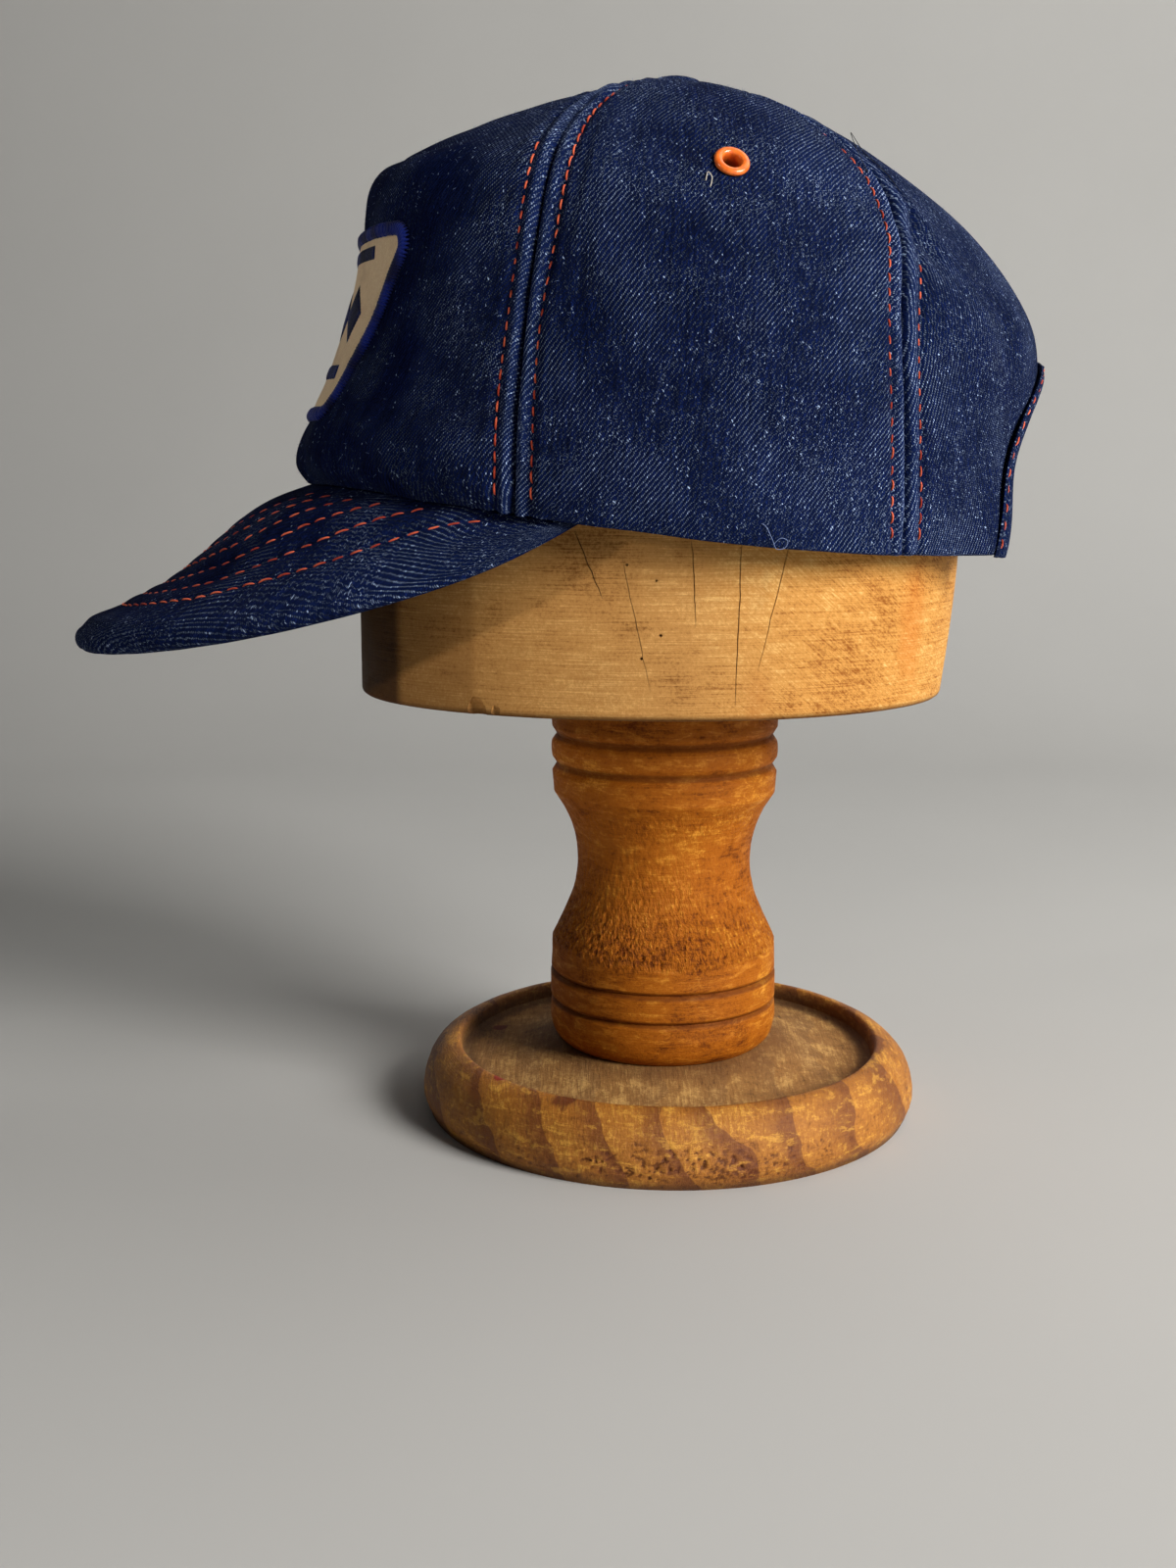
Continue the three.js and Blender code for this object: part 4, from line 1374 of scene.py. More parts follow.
# %% [markdown]
# ## Eyelets
# An eyelet is a flanged tube of thin metal, pressed through the cloth and rolled over behind, then
# enamelled orange. It is one profile spun round the hole's axis. The enamel is chipped on the rim,
# where dull metal shows.

# %% Enamel and eyelets
def enamel_material():
    made, tree, shader = new_material("orange_enamel", Roughness=0.28, Coat_Weight=0.35)
    place = object_place(tree)
    chips = tree.noise(place, 1.3, 4.0, 0.65)
    chipped = tree.ramp(chips, 0.66, 0.70)
    grime = tree.ramp(tree.noise(place, 0.5, 3.0), 0.4, 0.7)
    paint = tree.mix(grime, (246, 124, 44), (226, 100, 32))
    tree.fill_named(shader, Base_Color=tree.mix(chipped, paint, (120, 78, 60)),
                    Roughness=tree.ramp(chipped, 0, 1, 0.28, 0.6),
                    Normal=tree.bump(tree.minus(1, chipped), 0.12))
    return made


ENAMEL = enamel_material()


def make_eyelet(name, angle):
    hole, flange = EYELET["hole"], EYELET["flange"]
    tube, back, washer = hole + 0.4, -WALL - 0.5, flange - 0.5
    profile = [(hole, back - 0.7), (hole, 0.4)]
    profile += arc((hole + 0.9, 0.55), (0.9, 0.8), (165, 140, 115, 90))
    profile += arc((flange - 0.9, 0.45), (0.9, 0.9), (90, 60, 30, 0, -25))
    profile += [(tube, 0.1), (tube, back), (washer, back), (washer, back - 0.6)]
    bm = spun(profile, 48, ring=True)
    centre, axis = hole_centre(angle)
    turn = Vector((0, 0, 1)).rotation_difference(Vector(axis)).to_matrix().to_4x4()
    placed = Matrix.Translation(Vector(centre * MM)) @ turn @ Matrix.Scale(MM, 4)
    bmesh.ops.transform(bm, matrix=placed, verts=bm.verts)
    return finish_piece(bm, name, ENAMEL)


for side, angle in EYELET_ANGLES.items():
    ready(make_eyelet("eyelet_ring_" + side, angle), "orange_paint", "eyelet_" + side)

# %% [markdown]
# ## Top button
# The button is a metal shell covered in a disc of denim. It is a dome spun from a short profile.

# %% Button
BUTTON = {"radius": 8.5, "height": 4.2, "shank": 3.8, "shank_depth": 1.9, "edge": 0.8}
CROWN_TOP = CROWN["front_up"][-1]


def make_button():
    seat = CROWN_TOP + GAP
    radius, height, shank, depth, edge = BUTTON.values()
    profile = [(0, seat - depth), (shank, seat - depth), (shank, seat), (radius - 0.5, seat),
               (radius, seat + 0.5)]
    profile += arc((0, seat + edge), (radius, height - edge), range(8, 90, 8))
    bm = spun(profile + [(0, seat + height)], 48)
    places = np.array([v.co[:] for v in bm.verts])
    around = np.arctan2(places[:, 1], places[:, 0])
    out = np.hypot(places[:, 0], places[:, 1])
    gathers = 0.14 * np.sin(around * 14) * np.clip(out / radius, 0, 1) ** 3
    places[:, 2] += gathers * (places[:, 2] > seat + 0.4)
    write_map(bm, turned_map(places[:, 0], places[:, 1], 45), np.full(len(places), 0.4))
    place_all(bm.verts, places)
    return finish_piece(bm, "button", DENIM)


ready(make_button(), "denim", "top_button")

# %% [markdown]
# ## The patch
# The patch is cream twill on the front panel. Its edge is overlocked: blue thread wrapped round and
# round the cut edge, each turn leaning over the next. The middle carries a plain row of diamonds
# between two bars, in satin stitch: threads laid side by side, each as long as the figure is
# tall there. Modelled threads catch light along the edge in a way that a painted line cannot.

# %% Patch cloth
PATCH = {"bottom_half": 30.0, "top_half": 56.0, "height": 46.0, "share": 0.207,
         "per_share": 190.0, "radius": 97.0, "clear": 0.4, "cloth": 0.8, "edge": 3.4, "corner": 3.0}


def patch_place(across, up):
    angle = -90 + np.degrees(across / PATCH["radius"])
    return angle, PATCH["share"] + up / PATCH["per_share"]


def on_patch(across, up, lift):
    angle, share = patch_place(across, up)
    return crown(angle, share, ripples(angle, share) + PATCH["clear"] + lift)


def cream_material():
    made, tree, shader = new_material("cream_cloth", Roughness=0.92, Sheen_Weight=0.2)
    place = surface_place(tree)
    cloth = placed_group(tree, TWILL, Place=place, Scale=1.2, Wear=0.3)
    soil = tree.noise(place, 0.06, 4.0, 0.65)
    clean = tree.mix(cloth["Warp"], (226, 194, 150), (250, 228, 190))
    soiled = tree.mix(tree.ramp(soil, 0.5, 0.75, 0, 0.4), clean, (190, 152, 108))
    tree.fill_named(shader, Base_Color=soiled, Normal=tree.bump(cloth["Height"], 0.12))
    return made


def make_patch_cloth():
    bm, u, v = grid(96, 60, 2)
    up = v * PATCH["height"]
    wide = PATCH["bottom_half"] + (PATCH["top_half"] - PATCH["bottom_half"]) * v
    across = (2 * u - 1) * wide
    inside = np.minimum(wide - np.abs(across), np.minimum(up, PATCH["height"] - up))
    tucked = 0.25 * hill(inside, 1.5)
    outer = on_patch(across, up, PATCH["cloth"] - tucked)
    inner = on_patch(across, up, 0.0)
    write_map(bm, np.tile(turned_map(across, up, 62), (2, 1)))
    place_all(bm.verts, np.concatenate([outer, inner]))
    bridge_walls(bm)
    return finish_piece(bm, "patch_cloth", cream_material())


ready(make_patch_cloth(), "cream_cloth", "patch_ground")


# %% Overlocked edge
def patch_outline(out, count):
    """Points round the patch, a distance outside its cloth, with rounded corners."""
    low, high, tall = PATCH["bottom_half"], PATCH["top_half"], PATCH["height"]
    corners = np.array([(-low, 0), (low, 0), (high, tall), (-high, tall)], float)
    sides = unit(np.roll(corners, -1, axis=0) - corners)
    outwards = np.stack([sides[:, 1], -sides[:, 0]], axis=1)
    line = []
    for i, corner in enumerate(corners):
        before = outwards[i - 1]
        bend = math.acos(float(np.clip(before @ outwards[i], -1, 1)))
        pull = PATCH["corner"] * math.tan(bend / 2)
        hub = corner - sides[i - 1] * pull - before * PATCH["corner"]
        for turn in bend * np.arange(9) / 8:
            away = before * math.cos(turn) + sides[i - 1] * math.sin(turn)
            line.append(hub + away * (PATCH["corner"] + out))
    line = np.array(line + line[:1])
    far = lengths_along(line)
    return between_rows(np.linspace(0, far[-1], count), far, line), far[-1]


EDGE_STEPS = 280
EDGE_SECTION = 14


def make_patch_edge():
    """The round core under the thread, closed on itself, and how long it is."""
    middle, length = patch_outline(PATCH["edge"] / 2, EDGE_STEPS + 1)
    ahead = np.roll(middle[:-1], -1, axis=0) - np.roll(middle[:-1], 1, axis=0)
    away = unit(np.stack([ahead[:, 1], -ahead[:, 0]], axis=1))
    away = np.concatenate([away, away[:1]])

    def place(number, v):
        step = np.rint(v * EDGE_STEPS).astype(int)
        turn = 2 * np.pi * number / EDGE_SECTION
        out = np.cos(turn) * PATCH["edge"] / 2
        lift = 0.62 + 0.72 * np.sin(turn)
        spot = middle[step] + away[step] * out[:, None]
        return on_patch(spot[:, 0], spot[:, 1], lift), np.stack([out, v * length], axis=1), 0 * v

    return rolled_tube(EDGE_SECTION, EDGE_STEPS, place, closed=True), length


BLUE_THREAD = thread_material("blue_thread", (3, 9, 52), (10, 32, 116), 0.5)
edge_bm, EDGE_LENGTH = make_patch_edge()
ready(finish_piece(edge_bm, "patch_edge_core", BLUE_THREAD), "blue_thread", "patch_border")

WRAP = {"pitch": 0.86, "length": 4.3, "radius": 0.5, "lean": 0.32}


def edge_wraps():
    """Frames for the turns of thread, each laid across the edge and leaning along it."""
    dice = random.Random(7)
    line, _ = patch_outline(PATCH["edge"] / 2 + 0.1, int(EDGE_LENGTH / WRAP["pitch"]) + 1)
    frames = []
    for here, there in zip(line, line[1:]):
        ahead = unit(there - here)
        away = np.array([ahead[1], -ahead[0]])
        ends = np.array([here - away * 0.5, here + away * 0.5, here, here + ahead * 0.3])
        points = on_patch(ends[:, 0], ends[:, 1], np.full(4, 0.98 + dice.uniform(-0.05, 0.08)))
        up = normals(*patch_place(here[:1], here[1:]))[0]
        along = points[1] - points[0] + (points[3] - points[2]) / 0.3 * WRAP["lean"]
        along = unit(along) * dice.uniform(0.97, 1.05)
        frames.append((points[2], along, unit(np.cross(up, along)), up))
    return frames


WRAP_SHAPE = thread_shape(WRAP["length"], WRAP["radius"], 1.15, rings=8)
WRAPS = edge_wraps()
ready(joined_copies("patch_edge_threads", WRAP_SHAPE, WRAPS, BLUE_THREAD), "blue_thread")
print(len(WRAPS), "turns of thread round the patch")

# %% Satin figures
NAVY_THREAD = thread_material("navy_thread", (10, 14, 40), (34, 44, 98), 0.5)
SATIN = {"pitch": 0.62, "radius": 0.34, "lift": 0.16}
# Bars as (bottom, top, half of the width), and five diamonds, all in patch millimetres.
BARS = ((8.0, 12.5, 27.0), (40.0, 44.0, 39.0))
DIAMOND = {"middle": 26.2, "tall": 9.0, "wide": 6.6, "apart": 14.25}


def satin_lines():
    """Threads as (across, bottom, top)."""
    def places(half):
        steps = int(half / SATIN["pitch"])
        return np.arange(-steps, steps + 1) * SATIN["pitch"]

    lines = [(x, low, high) for low, high, half in BARS for x in places(half)]
    middle, tall, wide, apart = DIAMOND.values()
    for k in range(-2, 3):
        for x in places(wide):
            rise = tall * (1 - abs(x) / wide)
            if rise > 0.5:
                lines.append((k * apart + x, middle - rise, middle + rise))
    return lines


def satin_frames():
    dice = random.Random(11)
    frames = []
    for across, low, high in satin_lines():
        spread, ups = np.full(3, across), np.array([low, (low + high) / 2, high])
        points = on_patch(spread, ups, np.full(3, PATCH["cloth"] + SATIN["lift"]))
        up = normals(*patch_place(spread[:1], ups[1:2]))[0]
        along = (points[2] - points[0]) * dice.uniform(0.98, 1.03)
        frames.append((points[1], along, unit(np.cross(up, along)), up))
    return frames


SATIN_SHAPE = thread_shape(1.0, SATIN["radius"], 0.35)
ready(joined_copies("patch_figures", SATIN_SHAPE, satin_frames(), NAVY_THREAD), "cream_cloth")

# %% [markdown]
# ## Wood
# The stand is three pieces of light hardwood that have been handled for decades. What makes old
# turned wood look real is the sum of several faint patterns: fine rings left by the lathe, soft
# stains, pores and short dark fibres. One group makes these masks, and each piece sums them into
# one tone that runs from its dark colour to its light one, and then lays its own stains over that.
# On the block and the foot some painted shade is laid over in the same way, and the block's wood is
# partly painted lighter towards the back.

# %% The wood group
def draw_wood(tree, given):
    place = given["Place"]
    lathe = tree.noise(tree.stretched(place, 0.045, 0.045, 2.3), 1.0, 5.0, 0.72)
    speckle = tree.noise(place, 1.15, 4.0, 0.75)
    return {"Lathe": lathe, "Blotch": tree.noise(place, 0.032, 5.0, 0.6, 0.4), "Speckle": speckle,
            "Patch": tree.noise(tree.stretched(place, 0.13, 0.13, 0.42), 1.0, 7.0, 0.74, 0.4),
            "Height": tree.plus(lathe, speckle, 0.7)}


WOOD = new_group("wood", {}, draw_wood)


def wood_material(name, specular):
    """A wooden finish to fill: also returns its places, their parts and its masks."""
    made, tree, shader = new_material(name, Specular_IOR_Level=specular)
    place = object_place(tree)
    apart = tree.add("ShaderNodeSeparateXYZ", [(0, place)]).outputs
    return made, tree, shader, place, apart, placed_group(tree, WOOD, Place=place)


def summed(tree, start, *pairs):
    """Start, plus each mask's distance from its middle times its weight."""
    total = start - sum(weight for _, weight in pairs) / 2
    for value, weight in pairs:
        total = tree.plus(total, value, weight)
    return total


def three_tones(tree, tone, dark, middle, light):
    """From the dark colour through the middle one to the light one, as tone goes from 0 to 1."""
    lower = tree.mix(tree.ramp(tone, 0.0, 0.5), dark, middle)
    return tree.mix(tree.ramp(tone, 0.5, 1.0), lower, light)


def overlaid(tree, base, *stains):
    """Lays colours over a base, each a mask and a colour, the last one on top: stains, and on the
    block and the foot some painted shade.
    """
    for mask, tone in stains:
        base = tree.mix(mask, base, tone)
    return base


def spot(tree, place, centre, radius, soft, ragged):
    """A mask that is 1 within radius of a place, in millimetres, with a soft and ragged edge."""
    gap = tree.add("ShaderNodeVectorMath", [(0, place), (1, centre)], operation="DISTANCE")
    far = tree.plus(gap.outputs["Value"], tree.noise(place, 0.35, 3.0), ragged)
    return tree.ramp(tree.minus(far, ragged / 2), radius + soft, radius - soft)


# %% [markdown]
# ## Hat block
# The block is an oval dome on a nearly straight wall, turned and then sanded across. Only the wall
# below the cap shows. It has dried out, so thin cracks run up from the foot and down from the top,
# with a few nail holes and a chip out of the lower edge. The cracks are cut with thin wedges, the
# nail holes with cones and the chip with lumpy balls, so they are real gaps that hold a shadow.

# %% Block material
def block_material():
    made, tree, shader, place, apart, wood = wood_material("block_wood", 0.1)
    leaning = tree.mapped(place, (0.72, 0, 0))
    scratch = tree.noise(tree.stretched(leaning, 0.5, 0.075, 2.2), 1.0, 5.0, 0.75)
    backward = tree.ramp(apart[1], -8, 42)
    tone = summed(tree, 0.5, (wood["Lathe"], 1.25), (wood["Speckle"], 1.0),
                  (wood["Blotch"], 1.25), (wood["Patch"], 0.7))
    scratched = tree.times(tree.minus(scratch, 0.5), backward)
    tone = tree.plus(tone, scratched, 1.5)
    base = three_tones(tree, tone, (124, 76, 30), (190, 138, 76), (229, 180, 110))
    # Towards the back, which faces the window, the wood turns lighter and more golden: partly its own
    # colour, partly painted light.
    lit_amber = three_tones(tree, tone, (154, 88, 28), (214, 152, 74), (244, 202, 128))
    base = overlaid(
        tree, tree.mix(tree.times(backward, 0.8), base, lit_amber),
        # Painted shade: the front of the wall darkens past y = -55 mm and goes nearly black past y =
        # -77 mm, where it is turned from the window and lies under the bill.
        (tree.ramp(apart[1], -53.5, -56.5, 0, 0.3), (96, 56, 18)),
        (tree.ramp(apart[1], -75.0, -78.5, 0, 0.82), (36, 13, 2)),
        (tree.ramp(wood["Blotch"], 0.54, 0.68, 0, 0.25), (134, 84, 34)),
        (tree.ramp(apart[2], 130.2, 128.2, 0, 0.75), (74, 40, 14)))
    runs = (((66.0, 50.0, 47.0), 4.5, 5.0, (196, 104, 30)),
            ((48.0, 66.0, 52.0), 6.0, 5.0, (206, 112, 34)),
            ((71.0, 20.0, 46.0), 2.6, 4.0, (170, 98, 38)))
    for centre, radius, ragged, tint in runs:
        run = spot(tree, tree.stretched(place, 1.0, 1.0, 0.35), centre, radius, 3.0, ragged)
        base = overlaid(tree, base, (tree.times(run, 0.38), tint))
    # Painted shade in the hollow of the chip.
    for y, radius in ((-54.9, 2.0), (-49.9, 1.4)):
        bite = spot(tree, place, (58.0, y, 129.2), radius, 1.2, 1.0)
        base = overlaid(tree, base, (tree.times(bite, 0.9), (40, 18, 5)))
    relief = tree.plus(wood["Height"], scratched, 1.0)
    tree.fill_named(shader, Base_Color=base, Normal=tree.bump(relief, 0.2),
                    Roughness=tree.ramp(wood["Blotch"], 0.3, 0.7, 0.5, 0.7))
    return made


BLOCK_WOOD = block_material()

# %% Block mesh
BLOCK = {"underside": 128.0, "front": 91.8, "back": 85.0, "back_at_foot": 79.6, "side": 72.0,
         "wall_top": 150.0, "edge": 1.5, "grow": 45.0}
BLOCK_TOP = CROWN_TOP - WALL - GAP
# Cracks: their two ends as (y, z), how wide and how deep, on the wearer's left.
CRACKS = [
    {"from": (-28.3, 178.0), "to": (-20.7, 159.6), "wide": 0.24, "deep": 2.6},
    {"from": (-16.0, 171.0), "to": (-8.4, 136.0), "wide": 0.16, "deep": 1.6},
    {"from": (1.9, 177.0), "to": (3.1, 152.5), "wide": 0.19, "deep": 2.2},
    {"from": (14.9, 178.0), "to": (13.6, 132.0), "wide": 0.22, "deep": 2.4},
    {"from": (28.0, 177.0), "to": (19.4, 141.0), "wide": 0.18, "deep": 1.8},
]
NAIL_HOLES = [(-14.5, 168.5, 0.5), (-7.0, 164.5, 0.45), (-5.8, 150.5, 0.6), (-10.7, 144.5, 0.55)]
CHIP = {"y": -54.4, "up": 129.2, "size": 3.0}


def block_back(z):
    """How far back the block's wall reaches at a height."""
    grown = min(1, (z - BLOCK["underside"]) / BLOCK["grow"])
    return BLOCK["back_at_foot"] + (BLOCK["back"] - BLOCK["back_at_foot"]) * grown


def block_reach(y, z):
    """How far out in X the block's side is at a height, for its wall."""
    end = BLOCK["front"] if y < 0 else block_back(z)
    share = max(0, (z - BLOCK["wall_top"]) / (BLOCK_TOP - BLOCK["wall_top"]))
    round_up = math.sqrt(1 - share**2)
    return BLOCK["side"] * math.sqrt(max(0, round_up**2 - (y / end) ** 2))


def merge_in(bm, piece):
    """Move another bmesh's faces into this one."""
    mesh = mesh_from(piece, "moved")
    bm.from_mesh(mesh)
    bpy.data.meshes.remove(mesh)


CRACK_CUTS = 12


def crack_wedge(crack, dice):
    """A thin upright wedge that kinks as it goes, sharp inside the wood and open outside it."""
    (y0, z0), (y1, z1) = crack["from"], crack["to"]
    kinks = [0] + [dice.uniform(-0.16, 0.16) for _ in range(CRACK_CUTS)] + [0]
    bm = bmesh.new()
    bmesh.ops.create_cube(bm, size=1.0)
    upright = [e for e in bm.edges if abs(e.verts[0].co.z - e.verts[1].co.z) > 0.5]
    bmesh.ops.subdivide_edges(bm, edges=upright, cuts=CRACK_CUTS, use_grid_fill=True)
    for vert in bm.verts:
        t = vert.co.z + 0.5
        y = y0 + (y1 - y0) * t + kinks[round(t * (CRACK_CUTS + 1))]
        z = z0 + (z1 - z0) * t
        taper = 0.25 + 0.75 * math.sin(math.pi * t) ** 0.5
        inner = vert.co.x < 0
        reach = block_reach(y, z)
        half = 0.03 if inner else crack["wide"] * taper
        vert.co = (reach - crack["deep"] * taper if inner else reach + 1.5,
                   y + (half if vert.co.y > 0 else -half), z)
    return bm


def crack_cutter():
    dice = random.Random(3)
    bm = bmesh.new()
    for crack in CRACKS:
        merge_in(bm, crack_wedge(crack, dice))
    for y, z, radius in NAIL_HOLES:
        made = bmesh.ops.create_cone(bm, cap_ends=True, segments=10, radius1=radius * 0.5,
                                     radius2=radius, depth=4)["verts"]
        turn = Matrix.Translation((block_reach(y, z), y, z)) @ Matrix.Rotation(math.pi / 2, 4, "Y")
        bmesh.ops.transform(bm, matrix=turn, verts=made)
    for k, (away, size) in enumerate(((0, 1.0), (5.2, 0.5))):
        y = CHIP["y"] + away
        made = bmesh.ops.create_icosphere(bm, subdivisions=2, radius=CHIP["size"] * size)["verts"]
        for vert in made:
            vert.co *= 1 + 0.35 * noise.noise(vert.co * 0.9 + Vector((k, 0, 0)))
            vert.co.z *= 1.3
            vert.co += Vector((block_reach(y, BLOCK["underside"]) + 0.2, y, CHIP["up"]))
    bmesh.ops.recalc_face_normals(bm, faces=bm.faces)
    return bm


def make_block():
    low, edge, top = BLOCK["underside"], BLOCK["edge"], BLOCK["wall_top"]
    flat = edge / BLOCK["side"]
    profile = [(0, low), (0.5, low)] + arc((1 - flat, low + edge), (flat, edge), (-90, -60, -30, 0))
    profile += [(1, z) for z in range(131, 150, 3)]
    profile += arc((0, top), (1, BLOCK_TOP - top), range(0, 90, 3))
    bm = spun(profile + [(0, BLOCK_TOP)], 144)
    for vert in bm.verts:
        x, y, z = vert.co
        worn = 0.25 * uneven(vert.co, 0.5, 0.5, 30)
        vert.co.x = x * (BLOCK["side"] + worn)
        vert.co.y = y * ((BLOCK["front"] if y < 0 else block_back(z)) + worn)
    bmesh.ops.recalc_face_normals(bm, faces=bm.faces)
    return finish_turned(boolean(bm, crack_cutter(), "DIFFERENCE"), "block", BLOCK_WOOD, 35)


ready(make_block(), "block_wood", "hat_block")

# %% [markdown]
# ## Post
# The post is one spindle: a bead and grooves at each end and a waist between. Turned against the
# grain, the flare above the lower bead has torn: little gouges run up and down it. They are cut
# into the mesh by pulling points in where a stretched noise is high. Sharp groove edges are kept
# by giving the spun profile a close pair of rings at each corner.

# %% Post material
def post_material():
    made, tree, shader, place, apart, wood = wood_material("post_wood", 0.14)
    torn_here = worn_here(tree)
    leaning = tree.mapped(place, (-0.22, 0, 0))
    gouge = tree.noise(tree.stretched(leaning, 1.15, 1.15, 0.36), 1.0, 3.0, 0.65)
    gouge = tree.times(tree.minus(gouge, 0.5), torn_here)
    tone = summed(tree, 0.44, (wood["Patch"], 1.0), (wood["Speckle"], 0.8),
                  (wood["Blotch"], 1.2), (wood["Lathe"], 0.5))
    tone = tree.plus(tone, gouge, 1.5)
    crisp = tree.times(tree.ramp(wood["Patch"], 0.55, 0.59, 0, 0.3), tree.minus(1.0, torn_here))
    base = overlaid(
        tree, three_tones(tree, tone, (94, 40, 2), (170, 94, 15), (236, 164, 56)),
        (crisp, (216, 142, 48)), (tree.ramp(wood["Patch"], 0.41, 0.36, 0, 0.35), (104, 46, 6)))
    for low, high in ((32.0, 35.0), (40.5, 43.7), (104.5, 107.6), (113.3, 116.3)):
        half = (high - low) / 2
        groove = tree.ramp(tree.away(apart[2], (low + high) / 2), half, half * 0.4, 0, 0.6)
        base = overlaid(tree, base, (groove, (78, 32, 6)))
    relief = tree.plus(wood["Height"], gouge, 6.0)
    tree.fill_named(shader, Base_Color=base, Normal=tree.bump(relief, 0.2),
                    Roughness=tree.ramp(wood["Patch"], 0.35, 0.65, 0.72, 0.5))
    return made


POST_WOOD = post_material()

# %% Post shape
POST_Y = -1.4
# Post profile as (radius, height): beads, grooves and the waist, from the foot up.
POST_PROFILE = [
    (31.0, 20.3), (33.4, 23.0), (34.6, 28.0), (34.4, 32.4), (33.4, 33.4), (34.5, 34.4),
    (34.5, 41.2), (33.4, 42.2), (34.3, 43.2), (34.0, 52.0), (30.6, 59.0), (27.5, 67.0),
    (26.2, 76.0), (27.3, 85.0), (30.4, 92.8), (33.4, 97.5), (33.9, 103.5), (32.4, 106.0),
    (33.9, 108.2), (33.9, 112.6), (32.4, 114.8), (33.9, 117.2), (33.9, 127.7),
]
POST_GROOVES = (33.4, 42.2, 52.6, 97.5, 106.0, 114.8)


def smooth_profile(rows, spacing, sharp=()):
    """A turned profile through the rows, rounded except near the sharp heights."""
    rows = np.array(rows, float)
    fine = []
    for k in range(len(rows) - 1):
        a, b = rows[max(0, k - 1)], rows[k]
        c, d = rows[k + 1], rows[min(len(rows) - 1, k + 2)]
        straight = any(min(b[1], c[1]) - 1.3 <= z <= max(b[1], c[1]) + 1.3 for z in sharp)
        steps = max(2, int(np.linalg.norm(c - b) / spacing))
        for t in np.arange(steps) / steps:
            fine.append(b + (c - b) * t if straight else rounded_between(a, b, c, d, t))
    fine.append(rows[-1])
    return fine


def turned_solid(rows, spacing, sharp, steps):
    """A solid turned from rows of (radius, height), closed by a flat face at each end."""
    fine = smooth_profile(rows, spacing, sharp)
    return spun([(0, fine[0][1]), *fine, (0, fine[-1][1])], steps)


def torn(place, fine, long, lean):
    """How deep the grain is torn at a place, in upright gouges that lean over."""
    turn = math.atan2(place.y, place.x) + lean * place.z
    radius = math.hypot(place.x, place.y)
    flat = (math.cos(turn) * radius, math.sin(turn) * radius, place.z)
    coarse = uneven(flat, fine, fine, long)
    rough = noise.noise(Vector((flat[0] / fine * 2.1, flat[1] / fine * 2.1, flat[2] / long * 2 + 9)))
    return max(0.0, coarse + 0.45 * rough + 0.02)


# The torn flare: it starts at a height and fades out over so many millimetres, and comes back
# weakly round another height.
TEAR = {"low": 52.0, "fade": 40, "again": 92, "spread": 5.0, "deep": 0.95}


def make_post():
    bm = turned_solid(POST_PROFILE, 0.62, POST_GROOVES, 400)
    depths = []
    for vert in bm.verts:
        x, y, z = vert.co
        radius = math.hypot(x, y)
        if radius < 20:
            vert.co.y += POST_Y
            depths.append(0.0)
            continue
        climb = (z - TEAR["low"] + 2.5 * uneven(vert.co, 14, 14, 9)) / TEAR["fade"]
        torn_low = max(0.0, 1 - climb) ** 1.6 if climb > 0 else max(0.0, 1 + climb * 12)
        torn_here = torn_low + 0.3 * hill(z - TEAR["again"], TEAR["spread"])
        depth = torn(vert.co, 1.0, 3.2, -0.008) * (TEAR["deep"] * torn_here + 0.07)
        depths.append(min(1.0, 1.4 * torn_here))
        depth += 0.12 * uneven(vert.co, 9, 9, 5)
        out = 1 - depth / radius
        vert.co = (x * out, y * out + POST_Y, z)
    write_map(bm, np.array([(vert.co.y, vert.co.z) for vert in bm.verts]), depths)
    return finish_turned(bm, "post", POST_WOOD, 55)


ready(make_post(), "post_wood", "stand_post")

# %% [markdown]
# ## Foot
# The foot is a thick disc with a rounded rim and a shallow dish that rises towards the post. Its
# varnish has worn through to yellow wood on the rim and gone grey in the dish, and paint and drink
# have left marks. The marks are round masks with ragged edges, placed where they lie.

